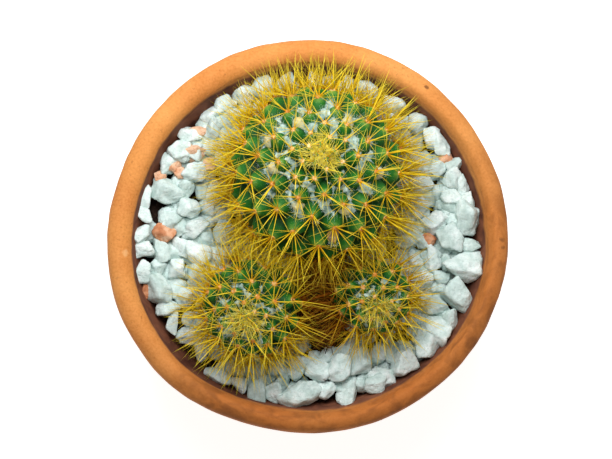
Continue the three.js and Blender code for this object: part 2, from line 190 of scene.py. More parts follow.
# The pad of felt on a tubercle: its size and flatness, how far it lies under the tip, the
# wavelength and depth of its fluff, and how much paler it is until what age
PAD_SIZE = 1.1
PAD_FLATNESS = 0.62
PAD_SINK = 0.15
PAD_FLUFF = (0.5, 0.16)
PAD_PALE = 0.35
PAD_PALE_UNTIL = 0.65
PAD_TONE = (-0.1, 0.1)

# The kinds of spine on an areole. Their count goes from first to last between two angles,
# from the crown or from straight up. They spread round its axis by degrees, and their length
# is a share of the head's own radial or central spines.
SPINE_KINDS = (
    {
        "count": (8, 12), "ages": (12, 50), "angle": "polar", "spread": (66, 13), "measure": "radial",
        "length": (0.8, 1.3), "thickness": 0.13, "sides": 3, "tone": 0.0, "scatter": 0.1,
    },
    {
        "count": (2, 5), "ages": (8, 50), "angle": "polar", "spread": (27, 13), "measure": "central",
        "length": (0.75, 1.15), "thickness": 0.25, "sides": 4, "tone": 0.0, "scatter": 0.1,
    },
    {
        "count": (0, 54), "ages": (70, 92), "angle": "from_up", "spread": (0, 38), "measure": "central",
        "length": (0.6, 1.15), "thickness": 0.17, "sides": 3, "tone": 0.1, "scatter": 2.4,
    },
)
YOUNG_LENGTH = 0.62
SPINE_SEGMENTS = 5
SPINE_CURL = 0.035
SPINE_TURN = 0.35
SPINE_FOOT = 0.5
SPINE_SINK = 0.3
SPINE_GIRTHS = (0.8, 1.2)
YOUNG_GIRTH = 0.7
GROWN_AGES = (0.5, 1.0)
TAPER = 0.8
NEARLY_UPRIGHT = 0.9
# How far spines keep from the pot and the pebbles, and from other heads, at so many places
SPINE_MARGIN = 1.0
HEAD_MARGIN = 0.3
SPINE_CHECKS = 5
BEND = 0.2
MOST_BENDS = 9
# Spines keep their length as far out as this from the pot's axis, and this share of it beyond
FREE_REACH = 66.5
REACH_BEYOND = 0.35
# Spines that start lower than this are older and browner, fully so at the second height. Round
# the bare patch between the heads they are painted darker still, as painted shade.
BROWN_FROM = 100
BROWN_AT = 82
BROWN = 0.1
SHADE_BY_PATCH = 0.8
NEAR_PATCH = (0.8, 1.9)
BROWN_VARIES = 0.16
MOST_BROWN = 0.95

# The tuft of young spines on each crown, over a dome of the same colour. The dome is so wide, in
# shares of the tuft, and so high, its centre lies so far under the crown, and its lumps each
# have a seed, a wavelength and a depth. It has the colour of a spine at one share of its length
# and at one tone. The spines start a little higher.
TUFT_PER_AREA = 5
TUFT_LENGTH = (3, 7)
TUFT_THICKNESS = (0.09, 0.15)
TUFT_RAGGED = 0.25
TUFT_LEAN = 0.95
TUFT_LEAN_VARIES = 0.2
TUFT_TURN = 0.3
TUFT_CURL = 0.06
TUFT_TONE = 0.08
MOST_TUFT_TONE = 0.3
TUFT_LOBES = 3
DOME_ALONG = 0.4
DOME_TONE = 0.1
DOME_WIDTH = 0.75
DOME_HEIGHT = 1.5
DOME_SINK = 2.6
DOME_LUMPS = ((SEEDS["tuft_lumps"], 0.7, 0.18), (0, 0.25, 0.08))
TUFT_SINK = 2

# Wool in the valleys: where it starts, is full, fades and ends, from the crown
WOOL_START = math.radians(9)
WOOL_FULL = math.radians(22)
WOOL_FADE = math.radians(44)
WOOL_END = math.radians(64)
WOOL_LEVEL = 0.36
WOOL_PATCHES = 0.24
WOOL_PATCH_SIZE = 6
WOOL_SINK = 0.3
# The wool's fluff: a seed, a wavelength, a depth and waves each, and how much its tops are painted
# lighter and its hollows darker, as painted light and shade
WOOL_FLUFF = ((SEEDS["wool"] + 1, 2.0, 0.4, 30), (SEEDS["wool"] + 2, 0.8, 0.2, 30))
FLUFF_LIGHT_AND_SHADE = 0.3
# Wool is kept down to this far under the skin, and grows strands down to this far under it
WOOL_KEPT = 0.4
WOOL_SHOWN = 0.15

# Loose hairs: how thick, how curly and how bright they are, those on the wool, and those that
# stand round each tubercle's tip
STRANDS_PER_AREA = 5
STRAND_THICKNESS = 0.075
STRAND_GIRTHS = (0.6, 1.2)
STRAND_CURL = 0.32
STRAND_TONE = (-0.15, 0.25)
STRAND_FOOT = 0.2
STRAND_UP = 0.6
STRAND_LENGTH = (1.2, 3.2)
HALO_HAIRS = 16
HALO_FOOT = 0.7
HALO_OUT = 1.6
HALO_SINK = 0.3
HALO_LENGTH = (0.8, 1.9)

# The pebbles that show best, as in the solids: x, y, length, width and turn in degrees
SEEN_PEBBLES = (
    (-44, 38, 9.4, 6, -10), (-47, 31, 8.8, 8.2, 20), (-55, 28, 8, 6.4, 70),
    (-53, 20, 12.4, 9, -20), (-41, 24, 10.4, 7.6, 30), (-60, 15, 9.4, 5, 80),
    (-44, 12, 8.2, 7.6, 0), (-51, 9, 8.4, 7.2, 40), (-60, 8, 8.8, 4.6, -25),
    (-60, 0, 7.8, 6.2, 20), (-47, 4, 7.8, 5.4, -75), (-41, 3, 10, 7.6, 10),
    (-60, -5, 10, 5.8, 8), (-53, -5, 9.2, 7, -60), (-46, -4, 8.2, 5.8, -70),
    (-60, -13, 8.2, 6, 80), (-54, -11, 6.8, 6.4, 0), (-54, -19, 12.4, 9.6, -70),
    (-47, -12, 8.4, 6.6, 60), (-54, -27, 8.8, 6.2, 15), (-50, -32, 9, 4, 85),
    (-44, -37, 8.4, 7, 30), (-32, -50, 10.2, 5.4, -25), (-18, -55, 11, 7, 80),
    (-3, -57, 15.4, 9, 20), (4, -48, 9.6, 8.2, 0), (6, -55, 7.8, 6.6, 50),
    (11, -47, 10, 8.6, 75), (14, -56, 11, 7, 85), (19, -45, 10.6, 8.4, 70),
    (27, -50, 10.2, 6.4, -25), (26, -56, 8.4, 7, 10), (36, -47, 11.2, 9, 60),
    (45, -40, 11.2, 9.8, 40), (46, -33, 11.6, 9.4, -50), (54, -32, 9.2, 6.2, 75),
    (46, -24, 9.8, 7, -10), (55, -22, 13, 10, -70), (55, -10, 15.4, 11, 5),
    (51, -1, 10.6, 8.4, -60), (58, -3, 7, 5.4, 0), (57, 7, 12.6, 11, -40),
    (46, 5, 10.2, 7.8, 15), (52, 14, 8.4, 6.4, -20), (60, 13, 8.2, 7, 50),
    (52, 21, 9.6, 7.2, -60), (59, 20, 8.2, 6.2, 80), (54, 27, 7.4, 5.8, 60),
    (51, 36, 10, 6.2, -60), (43, 45, 8, 7.6, 0), (33, 52, 8.6, 7.2, 20),
    (45, 37, 8.4, 6.4, 70), (45, -8, 9.6, 5.8, 80), (-18, 59, 9.2, 7.6, 50),
    (-24, 55, 9.2, 7, 40), (-32, 51, 8.4, 6.8, 10), (-37, 47, 7.8, 6.6, 60),
    (-28, 45, 9, 7, 0), (-35, 40, 8.6, 7.2, 35), (23, 58, 8.4, 7, 0),
)
FILL_SEED = 7
FILL_TRIES = 2600
FILL_LENGTH = (6.5, 9.5)
FILL_WIDTH = (0.7, 0.95)
FILL_CLOSENESS = 0.77
PEBBLE_FLATNESS = 0.75
PEBBLE_LIFT = (0.1, 0.32)
PEBBLE_TILT = 0.5
PEBBLE_HALF = 0.55
PEBBLE_TOP = 0.6
PEBBLE_MARGIN = 0.6

# The bare ellipse between the heads, x, y and half sizes, and the old spines that fill it
BARE_PATCH = (6, -22, 9, 19)
LITTER_COUNT = 2200
LITTER_SPREAD = 0.98
LITTER_RAISE = 1
LITTER_DEPTH = 13
LITTER_SETTLING = 1.3
LITTER_LENGTH = (5, 11)
LITTER_THICKNESS = (0.12, 0.2)
LITTER_FLATNESS = 0.45
LITTER_CURL = 0.08
# Old spines are painted darker the deeper they lie, as painted shade; their tone also varies by this
LITTER_TONE = (0.08, 0.5)
# How far into the tubercles of a head old spines still lie, as a share of their height
LITTER_IN_HEAD = 0.4

# Stones under the top ones, and the terracotta-coloured chips among them: x, y and length
TOP_GROWTH = 1.12
TOP_RAISE = 0.9
TOP_TONE = (-0.12, 0.16)
# Top stones are spread out to the wall, fully so from this far out
SPREAD_FROM = 55
UNDER_COUNT = 720
UNDER_LENGTH = (6.5, 9.5)
UNDER_INSET = 4
UNDER_LEVEL = (PEBBLE_BED_TOP - 2.5, PEBBLE_BED_TOP + 0.3)
UNDER_TILT = 0.6
# Low stones are painted darker by this tone, as painted shade under the top ones
UNDER_SHADE_TONE = (-0.25, 0.05)
# Low stones keep this far from the bare patch, and this share of their length from the stems
UNDER_FROM_PATCH = 1.15
UNDER_FROM_STEM = 0.4
# Gap stones and chips: width as a share of length, tilt, and how far above the bed they lie
SMALL_WIDTH = 0.8
SMALL_TILT = 0.2
GAP_STONE_RAISE = 0.5
CHIP_RAISE = 2
CHIP_TURN = 50
CHIP_TONE = (-0.1, 0.1)
# Stones that close the gaps between the southern ones: x, y, length and turn in degrees
GAP_STONES = (
    (-4.5, -50.5, 8, 20), (20.5, -54.5, 7.5, 70), (31, -44, 7, 130), (-12, -48, 7, 100),
    (2, -44.5, 6.5, 40),
)
CHIPS = (
    (-42, 31, 9), (-50, 27, 7), (-55, 22, 6), (-48, 24, 6), (-53, 1.5, 10), (-60, -20, 7),
    (52, 29, 8), (45, -1, 7), (-41, 40, 7), (-37, 27, 6),
)
# The chips north of this are paler by this much
PALE_CHIPS_FROM = 15
PALE_CHIP = 0.22
# Stones beside the dark hole at the west that lie lower in the picture than in the solids:
# which one of the top stones, x and y
MOVED_PEBBLES = {3: (-51.2, 16.4), 5: (-58.2, 13.4), 6: (-43.6, 10.6), 7: (-50.4, 6.2)}
# The dark hole: x, y and how far from it no low stone lies
HOLE = (-57.4, 10.4, 6)
# The stretch of bare wall: its compass angle, half its width, and where its low stones end
BARE_WALL = (math.radians(218), math.radians(17), 55.5)
# The whole wedge between it and the middle, where no top stone is spread to the wall
BARE_WEDGE = (*BARE_WALL[:2], 0)
# The stretch where the outer stones lean on the wall: its compass angle, half its width and
# where it starts, how much higher the stones lie there, and how much further out as a share
LEANING = (math.radians(181), math.radians(18), 55.5)
LEANING_RAISE = 2.2
LEANING_SPREAD = 1.025

# A broken stone, in shares of its radius: how many planes cut it, how much they turn and how far
# out they lie, how sharp its edges are, how far its corners reach, its dents, and its roughness
# as seed, wavelength, depth and waves. Stones stay under a ceiling and off the wall.
STONE_PLANES = 11
PLANE_TURN = 0.5
PLANE_REACH = (0.62, 1.0)
STONE_SHARPNESS = 22
CORNER_REACH = 1.35
STONE_DENTS = 2
DENT_DEPTH = 0.1
DENT_WIDTH = 0.12
STONE_ROUGHNESS = ((1, 0.9, 0.04), (2, 0.3, 0.022, 24))
STONE_CEILING = PEBBLE_CEILING + 0.5
STONE_TO_WALL = 0.1

# The camera: where it looks, how far it tilts from straight down, how far off it is
AIM = (-0.9, 2.1, 80)
TILT_WEST = math.radians(2.6)
TILT_SOUTH = math.radians(5.5)
CAMERA_DISTANCE = 600
LENS = 95.4
SENSOR_WIDTH = 36

# The studio: half the floor's side in metres, and the lamp
FLOOR_HALF = 3
FLOOR_GREY = (0.85, 0.85, 0.85, 1)
FLOOR_GLOW = 0.75
SKY = (0.96, 0.98, 1, 1)
SKY_STRENGTH = 0.3
LAMP_PLACE = (-20, 120, 320)
LAMP_AIM = (0, 0, 80)
LAMP_SIZE = 200
LAMP_POWER = 1.0

# The inner edge of the rim lies this far off centre, towards this compass angle, and is wider by
# a little. Both set in from this height up.
INNER_SHIFT = (1.0, math.radians(-42))
INNER_WIDENING = 0.25
INNER_SHIFT_FROM = 20

# The inner wall is painted dark as painted shade, partly real damp, on what lies this near to it,
# and fades between two heights. It reaches higher at the west, and sets in there between two
# shares of facing west.
INNER_NEARNESS = 2.5
WALL_DARKENED_ABOVE = 1
SHADE_AND_DAMP_HEIGHTS = (PEBBLE_CEILING - 5, LIP_HEIGHT + 2)
WEST_SHADE_AND_DAMP = 2.5
FACING_WEST = (0.2, 0.9)

# The lip is painted darker at the south and east, as painted shade and partly as real stains, from
# none at the first height to all at the second
SHADE_AND_WEAR_HEIGHTS = (72, 82)
SHADE_AND_WEAR_TOWARDS = (0.55, -0.85, 0.0)
FACING_SHADE_AND_WEAR = (-0.3, 0.9)
FACING_SOUTH = (0.5, 1.0)
SHADE_AND_WEAR_EAST = 0.95
SHADE_AND_WEAR_SOUTH = 0.4

# The pale bloom near the foot ends at this height
BLOOM_HEIGHT = 46

# The waves of a random field are this many times as fast as its wavelength says
WAVE_RANGE = (0.7, 1.4)


def lerp(a, b, t):
    return a + (b - a) * t


def smoothstep(low, high, value):
    t = np.clip((value - low) / (high - low), 0, 1)
    return t * t * (3 - 2 * t)


def unit(vectors):
    return vectors / np.linalg.norm(vectors, axis=-1, keepdims=True)


def seeded(seed):
    """The solids' own random numbers (mulberry32), so that the same stones lie in the same places."""
    state = seed

    def draw():
        nonlocal state
        state = (state + 0x6D2B79F5) & 0xFFFFFFFF
        t = ((state ^ (state >> 15)) * (1 | state)) & 0xFFFFFFFF
        mixed = ((t ^ (t >> 7)) * (61 | t)) & 0xFFFFFFFF
        t = ((t + mixed) & 0xFFFFFFFF) ^ t
        return ((t ^ (t >> 14)) & 0xFFFFFFFF) / 4294967296

    return draw


def bumps(points, seed, wavelength, waves=14):
    """A smooth random field over points, about -1 to 1, with features of one wavelength."""
    rng = np.random.default_rng(seed)
    directions = unit(rng.normal(size=(waves, 3))) * rng.uniform(*WAVE_RANGE, (waves, 1))
    phases = rng.uniform(0, 2 * math.pi, waves)
    angles = points @ directions.T * (2 * math.pi / wavelength) + phases
    return np.sin(angles).sum(-1) / math.sqrt(waves)


def layered(points, seed, layers, base=0):
    """Random fields on a base: each layer is an added seed, a wavelength, a depth, maybe waves."""
    fields = (depth * bumps(points, seed + own, size, *waves) for own, size, depth, *waves in layers)
    return sum(fields, base)


def turned(profile, sides):
    """Points of a turned form: a row of them for each radius and height of its profile."""
    around = np.arange(sides) * 2 * math.pi / sides
    radius, height = np.array(profile, float).T[..., None] * np.ones(sides)
    return np.stack([radius * np.cos(around), radius * np.sin(around), height], -1).reshape(-1, 3)


class Pile:
    """Gathers many small pieces, with values on their vertices, into one mesh."""

    def __init__(self):
        self.vertices = []
        self.faces = []
        self.values = {}
        self.count = 0

    def add(self, vertices, face_sets, **values):
        vertices = np.asarray(vertices, float)
        self.faces += [np.asarray(faces) + self.count for faces in face_sets]
        self.vertices.append(vertices)
        self.count += len(vertices)
        for name, value in values.items():
            spread = np.broadcast_to(np.asarray(value, float), (len(vertices),))
            self.values.setdefault(name, []).append(spread)

    def build(self, name, material, slot, replaced=()):
        mesh = bpy.data.meshes.new(name)
        vertices = np.concatenate(self.vertices) * MM
        corners = np.concatenate([faces.ravel() for faces in self.faces])
        sizes = np.concatenate([np.full(len(faces), faces.shape[1]) for faces in self.faces])
        mesh.vertices.add(len(vertices))
        mesh.vertices.foreach_set("co", vertices.astype(np.float32).ravel())
        mesh.loops.add(len(corners))
        mesh.loops.foreach_set("vertex_index", corners.astype(np.int32))
        mesh.polygons.add(len(sizes))
        starts = np.cumsum(sizes) - sizes
        mesh.polygons.foreach_set("loop_start", starts.astype(np.int32))
        mesh.update(calc_edges=True)
        mesh.shade_smooth()
        for key, parts in self.values.items():
            layer = mesh.attributes.new(key, "FLOAT", "POINT")
            layer.data.foreach_set("value", np.concatenate(parts).astype(np.float32))
        mesh.materials.append(material)
        obj = bpy.data.objects.new(name, mesh)
        bpy.context.scene.collection.objects.link(obj)
        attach(obj, "root")
        if replaced:
            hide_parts(*replaced)


def ball(subdivisions):
    """Vertices and triangles of an icosphere of radius 1."""
    mesh = bmesh.new()
    bmesh.ops.create_icosphere(mesh, subdivisions=subdivisions, radius=1)
    vertices = unit(np.array([vertex.co[:] for vertex in mesh.verts]))
    faces = np.array([[vertex.index for vertex in face.verts] for face in mesh.faces])
    mesh.free()
    return vertices, faces


def grid_faces(rows, columns):
    """Quads between rows of vertices, where each row closes on itself."""
    row, column = np.mgrid[0 : rows - 1, 0:columns]
    following = (column + 1) % columns
    corners = (row * columns + column, row * columns + following)
    above = ((row + 1) * columns + following, (row + 1) * columns + column)
    return np.stack([*corners, *above], -1).reshape(-1, 4)


# Materials

def srgb(red, green, blue):
    """A colour seen as sRGB 0 to 255, as the linear values that a shader takes."""
    def linear(value):
        value /= 255
        return value / 12.92 if value <= 0.04045 else ((value + 0.055) / 1.055) ** 2.4

    return (linear(red), linear(green), linear(blue), 1)


class Shader:
    """A Principled material with short calls for the nodes that feed it."""

    def __init__(self, name, roughness, specular):
        self.material = bpy.data.materials.new(name)
        self.material.use_nodes = True
        self.nodes = self.material.node_tree.nodes
        self.links = self.material.node_tree.links
        self.surface = self.nodes["Principled BSDF"]
        self.surface.inputs["Roughness"].default_value = roughness
        self.surface.inputs["Specular IOR Level"].default_value = specular
        self.place = self.nodes.new("ShaderNodeTexCoord").outputs["Object"]

    def feed(self, socket, value):
        if isinstance(value, bpy.types.NodeSocket):
            self.links.new(value, socket)
        else:
            socket.default_value = value

    def noise(self, size, detail=4, distortion=0.0, place=None):
        """Noise from 0 to 1 with features of a size in millimetres."""
        node = self.nodes.new("ShaderNodeTexNoise")
        self.links.new(place or self.place, node.inputs["Vector"])
        node.inputs["Scale"].default_value = 1 / (size * MM)
        node.inputs["Detail"].default_value = detail
        node.inputs["Distortion"].default_value = distortion
        return node.outputs["Fac"]

    def streaks(self, size):
        """Noise from 0 to 1 that is drawn out round the pot, over places in millimetres."""
        place = self.nodes.new("ShaderNodeCombineXYZ")
        for socket, name in zip(place.inputs, ("round_x", "round_y", "across")):
            self.links.new(self.value(name), socket)
        return self.noise(size / MM, detail=8, distortion=0.6, place=place.outputs["Vector"])

    def value(self, name):
        """A value kept on the vertices of the mesh."""
        node = self.nodes.new("ShaderNodeAttribute")
        node.attribute_name = name
        return node.outputs["Fac"]

    def math(self, operation, *values):
        node = self.nodes.new("ShaderNodeMath")
        node.operation = operation
        for socket, value in zip(node.inputs, values):
            self.feed(socket, value)
        return node.outputs["Value"]

    def spot(self, place, size):
        """1 inside a ragged round spot at a place, and 0 outside it."""
        node = self.nodes.new("ShaderNodeVectorMath")
        node.operation = "DISTANCE"
        self.links.new(self.place, node.inputs[0])
        node.inputs[1].default_value = Vector(place) * MM
        core = 0.6 * size * MM
        ragged = self.span(self.noise(size, detail=3), 0, 1, -core, core)
        away = self.math("ADD", node.outputs["Value"], ragged)
        return self.span(away, core, size * MM, 1, 0)

    def ramp(self, factor, *stops):
        """Colours along a factor: each stop is a position and a colour."""
        node = self.nodes.new("ShaderNodeValToRGB")
        elements = node.color_ramp.elements
        while len(elements) < len(stops):
            elements.new(0.5)
        for element, (position, colour) in zip(elements, stops):
            element.position = position
            element.color = colour
        self.links.new(factor, node.inputs["Fac"])
        return node.outputs["Color"]

    def span(self, factor, low, high, to_low=0.0, to_high=1.0):
        """A factor stretched from one range to another, and held within it."""
        node = self.nodes.new("ShaderNodeMapRange")
        self.links.new(factor, node.inputs["Value"])
        limits = {"From Min": low, "From Max": high, "To Min": to_low, "To Max": to_high}
        for key, value in limits.items():
            node.inputs[key].default_value = value
        return node.outputs["Result"]

    def mix(self, factor, first, second):
        node = self.nodes.new("ShaderNodeMix")
        node.data_type = "RGBA"
        for key, value in ((0, factor), (6, first), (7, second)):
            self.feed(node.inputs[key], value)
        return node.outputs[2]

    def overlay(self, under, mask, share, colour):
        """A colour laid over what is under it, where a mask is 1, by a share of its strength."""
        return self.mix(self.math("MULTIPLY", mask, share), under, colour)

    def ragged(self, name, size, amount, detail=4):
        """A value kept on the vertices, made more or less by an amount in patches of a size."""
        patches = self.span(self.noise(size, detail), 0, 1, -amount, amount)
        return self.math("ADD", self.value(name), patches)

    def toned(self, size, detail=4, distortion=0.0):
        """Noise of a size, lighter or darker by each piece's own tone."""
        return self.math("ADD", self.noise(size, detail, distortion), self.value("tone"))

    def scatter(self, weight, *reach):
        """Light that soaks in, and how many millimetres of it red, green and blue reach."""
        self.surface.inputs["Subsurface Weight"].default_value = weight
        self.surface.inputs["Subsurface Radius"].default_value = Vector(reach) * MM

    def colour(self, value):
        self.feed(self.surface.inputs["Base Color"], value)

    def bump(self, height, depth):
        """Bumps of a depth in millimetres, on top of those already there."""
        node = self.nodes.new("ShaderNodeBump")
        node.inputs["Strength"].default_value = 1
        node.inputs["Distance"].default_value = depth * MM
        self.links.new(height, node.inputs["Height"])
        normal = self.surface.inputs["Normal"]
        if normal.is_linked:
            self.links.new(normal.links[0].from_socket, node.inputs["Normal"])
        self.links.new(node.outputs["Normal"], normal)


# Marks on the rim: place, size, strength and colour
RIM_MARKS = (
    ((43.9, 55.2, 84), 1.1, 0.75, srgb(96, 54, 24)),
    ((-66.8, -7.2, 83.5), 1.6, 0.4, srgb(240, 196, 140)),
    ((71.2, -1.6, 83), 1.3, 0.6, srgb(92, 52, 24)),
    ((71.6, -4.6, 83), 1.0, 0.5, srgb(92, 52, 24)),
    ((32, -63.5, 83.5), 3.4, 0.35, srgb(104, 58, 26)),
    ((-30, -65, 83.5), 2.6, 0.3, srgb(120, 66, 30)),
    ((60, -40, 83.5), 3.0, 0.35, srgb(104, 58, 26)),
)


def terracotta():
    shader = Shader("terracotta", roughness=0.78, specular=0.25)
    fired = shader.ramp(
        shader.noise(26, detail=5, distortion=0.6),
        (0.3, srgb(198, 122, 54)),
        (0.5, srgb(212, 140, 68)),
        (0.72, srgb(222, 154, 82)),
    )
    grain = shader.ramp(
        shader.noise(0.9, detail=6),
        (0.3, srgb(180, 102, 44)),
        (0.6, srgb(230, 154, 86)),
    )
    clay = shader.mix(0.3, fired, grain)
    specks = shader.span(shader.noise(1.4, detail=2), 0.66, 0.72)
    clay = shader.overlay(clay, specks, 0.3, srgb(120, 62, 30))
    brushed = shader.streaks(9)
    clay = shader.mix(shader.span(brushed, 0.45, 0.75, 0.0, 0.2), clay, srgb(232, 160, 92))
    # Painted shade: the lip darker at the south and east, with darker stain streaks within it
    clay = shader.overlay(clay, shader.value("shade_and_wear"), 0.7, srgb(168, 90, 30))
    stained = shader.math("MULTIPLY", shader.span(brushed, 0.54, 0.36), shader.value("shade_and_wear"))
    clay = shader.overlay(clay, stained, 0.5, srgb(104, 58, 24))
    # Painted shade: the dark colour of the inner wall, which is partly damp
    wall = shader.ramp(
        shader.noise(7, detail=6, distortion=1.0),
        (0.3, srgb(84, 48, 36)),
        (0.7, srgb(136, 84, 60)),
    )
    damp_and_shade = shader.span(shader.ragged("damp_and_shade", 5, 0.2), 0.35, 0.65)
    bloom = shader.span(shader.noise(11, detail=8, distortion=0.8), 0.42, 0.72, 0.0, 0.45)
    clay = shader.overlay(clay, bloom, shader.value("low"), srgb(226, 192, 156))
    for place, size, strength, colour in RIM_MARKS:
        clay = shader.overlay(clay, shader.spot(place, size), strength, colour)
    shader.colour(shader.mix(damp_and_shade, clay, wall))
    shader.bump(shader.noise(0.7, detail=6), 0.1)
    shader.bump(shader.noise(5, detail=3), 0.12)
    return shader.material


def stone(name, dark, middle, light):
    shader = Shader(name, roughness=0.92, specular=0.15)
    mottled = shader.toned(3.4, detail=5, distortion=0.4)
    white = shader.ramp(mottled, (0.25, dark), (0.5, middle), (0.75, light))
    pits = shader.span(shader.noise(0.8, detail=6, distortion=0.5), 0.3, 0.5, 0.5, 0.0)
    shader.colour(shader.mix(pits, white, dark))
    shader.bump(shader.noise(1.4, detail=8, distortion=0.3), 0.5)
    shader.bump(shader.noise(0.45, detail=4), 0.28)
    return shader.material


def soil_material():
    shader = Shader("potting_soil", roughness=0.95, specular=0.1)
    shader.colour(shader.ramp(
        shader.noise(2.5, detail=8),
        (0.3, srgb(22, 17, 15)),
        (0.55, srgb(46, 36, 30)),
        (0.75, srgb(84, 66, 52)),
    ))
    shader.bump(shader.noise(1.5, detail=8), 1.0)
    return shader.material


def skin_material():
    shader = Shader("cactus_skin", roughness=0.55, specular=0.18)
    # Darker green down in the valleys as painted shade, paler towards the tubercles' tips
    green = shader.ramp(
        shader.ragged("rise", 3, 0.12, detail=3),
        (0.05, srgb(8, 34, 12)),
        (0.4, srgb(16, 72, 22)),
        (0.8, srgb(34, 106, 28)),
        (0.98, srgb(104, 144, 50)),
    )
    flecks = shader.span(shader.noise(0.35, detail=2), 0.62, 0.72)
    green = shader.overlay(green, flecks, 0.35, srgb(150, 186, 130))
    old = shader.ramp(shader.noise(4, detail=5), (0.3, srgb(92, 70, 38)), (0.7, srgb(140, 112, 62)))
    shader.colour(shader.mix(shader.value("old"), green, old))
    shader.scatter(0.12, 0.6, 1, 0.4)
    shader.bump(shader.noise(0.5, detail=4), 0.05)
    return shader.material


def spine_material(name, young_colours, grown_colours, dead_and_shaded_colour):
    """Spines run through three colours from foot to tip, and to a fourth as they die, and in painted
    shade.
    """
    shader = Shader(name, roughness=0.6, specular=0.12)
    positions = (0.0, 0.2, 1.0)
    young = shader.ramp(shader.value("along"), *zip(positions, young_colours))
    grown = shader.ramp(shader.value("along"), *zip(positions, grown_colours))
    golden = shader.mix(shader.value("age"), young, grown)
    shader.colour(shader.mix(shader.value("tone"), golden, dead_and_shaded_colour))
    return shader.material


YOUNG_GOLD = (srgb(228, 158, 24), srgb(242, 216, 46), srgb(250, 240, 104))
GROWN_GOLD = (srgb(208, 140, 8), srgb(230, 192, 16), srgb(244, 226, 72))
TUFT_GOLD = (srgb(214, 190, 60), srgb(236, 220, 88), srgb(246, 238, 140))
# Old spines' browns, made darker as painted shade between the heads
OLD_BROWN_AND_SHADE = (srgb(52, 28, 2), srgb(96, 54, 4), srgb(144, 86, 10))


def wool_material():
    shader = Shader("axil_wool", roughness=0.95, specular=0.05)
    # Painted shade in the wool's hollows and painted light on its tops: cyan-grey to white
    shader.colour(shader.ramp(
        shader.toned(1.2),
        (0.25, srgb(112, 146, 134)),
        (0.5, srgb(168, 194, 184)),
        (0.75, srgb(208, 226, 218)),
    ))
    shader.scatter(0.15, 0.8, 0.8, 0.8)
    return shader.material


def felt_material():
    shader = Shader("areole_felt", roughness=0.95, specular=0.05)
    shader.colour(shader.ramp(
        shader.toned(0.7),
        (0.3, srgb(196, 120, 48)),
        (0.55, srgb(222, 166, 92)),
        (0.8, srgb(242, 222, 176)),
    ))
    shader.bump(shader.noise(0.2, detail=3), 0.08)
    return shader.material


def bud_material():
    shader = Shader("bud", roughness=0.6, specular=0.3)
    pale = shader.ramp(
        shader.ragged("along", 1.5, 0.15),
        (0.0, srgb(150, 160, 84)),
        (0.45, srgb(206, 208, 176)),
        (0.75, srgb(222, 208, 156)),
        (0.95, srgb(204, 158, 84)),
    )
    shader.colour(shader.mix(shader.value("dried"), pale, srgb(150, 84, 70)))
    shader.bump(shader.noise(0.5), 0.05)
    return shader.material


# The pot

def inner_radius(height):
    share = (height - FLOOR) / (LIP_HEIGHT - FLOOR)
    return lerp(BASE_RADIUS - WALL, INNER_RIM_RADIUS, share)


def out_of_round(points):
    """The thrown pot's uneven outline, full at the rim and fading to a true circle at the base."""
    scale = 1 + wave_at(points, LOBES + RIM_WAVES) * np.clip(points[:, 2] / POT_HEIGHT, 0, 1)
    return points * np.column_stack([scale, scale, np.ones(len(points))])


def wave_at(points, waves):
    angle = np.arctan2(points[:, 1], points[:, 0])
    return sum(share * np.cos(lobes * angle - math.radians(turn)) for share, lobes, turn in waves)


def wall_radius(points):
    """The radius of the inner wall beside each point."""
    waves = 1 + wave_at(points, LOBES + RIM_WAVES) * points[:, 2] / POT_HEIGHT
    around = np.arctan2(points[:, 1], points[:, 0])
    moved = INNER_SHIFT[0] * np.cos(around - INNER_SHIFT[1]) + INNER_WIDENING
    return inner_radius(points[:, 2]) * waves + moved * inner_shift_share(points[:, 2])


def inner_shift_share(height):
    """How much of the inner wall's shift reaches each height."""
    return smoothstep(INNER_SHIFT_FROM, LIP_HEIGHT, height)


def resampled(points, spacing):
    """The same outline with points no further apart than a spacing."""
    rows = []
    for start, end in zip(points[:-1], points[1:]):
        start, end = np.array(start, float), np.array(end, float)
        steps = max(1, math.ceil(np.linalg.norm(end - start) / spacing))
        rows += [lerp(start, end, i / steps) for i in range(steps)]
    return np.array([*rows, points[-1]], float)


def eased(outline, rounds):
    """Rounds the corners of an outline by averaging, and keeps its two ends."""
    for _ in range(rounds):
        outline[1:-1] = (outline[:-2] + 2 * outline[1:-1] + outline[2:]) / 4
    return outline


def pot_outline():
    collar_bottom = POT_HEIGHT - COLLAR_HEIGHT
    lip = [
        (
            RIM_RADIUS - LIP_RADIUS + LIP_RADIUS * math.cos(angle),
            LIP_HEIGHT + LIP_RADIUS * math.sin(angle),
        )
        for angle in np.linspace(0, math.pi, LIP_POINTS)
    ]
    outside = [
        (BASE_RADIUS - EDGE, 0),
        (BASE_RADIUS, EDGE),
        (WALL_TOP_RADIUS, collar_bottom - EDGE),
        (COLLAR_RADIUS, collar_bottom),
        *lip,
    ]
    inside = [
        (INNER_RIM_RADIUS, LIP_HEIGHT),
        (BASE_RADIUS - WALL, FLOOR),
        (DRAIN_RADIUS, FLOOR),
        (DRAIN_RADIUS, 0),
    ]
    outside = eased(resampled(outside, spacing=1.0), rounds=4)
    inside = eased(resampled(inside, spacing=2.5), rounds=1)
    return np.concatenate([[(DRAIN_RADIUS, 0)], outside, inside[1:-1]])


def surface_relief(points):
    """How far the hand-made surface stands out from the plain form, in millimetres."""
    height = points[:, 2]
    lines = THROWING_DEPTH * np.sin(height * THROWING_WAVES + bumps(points, *THROWING_WANDER))
    lines = lines * smoothstep(*THROWING_START, height)
    return (lines + layered(points, 0, POT_DENTS) - SURFACE_INSET) * smoothstep(0, FOOT_HEIGHT, height)


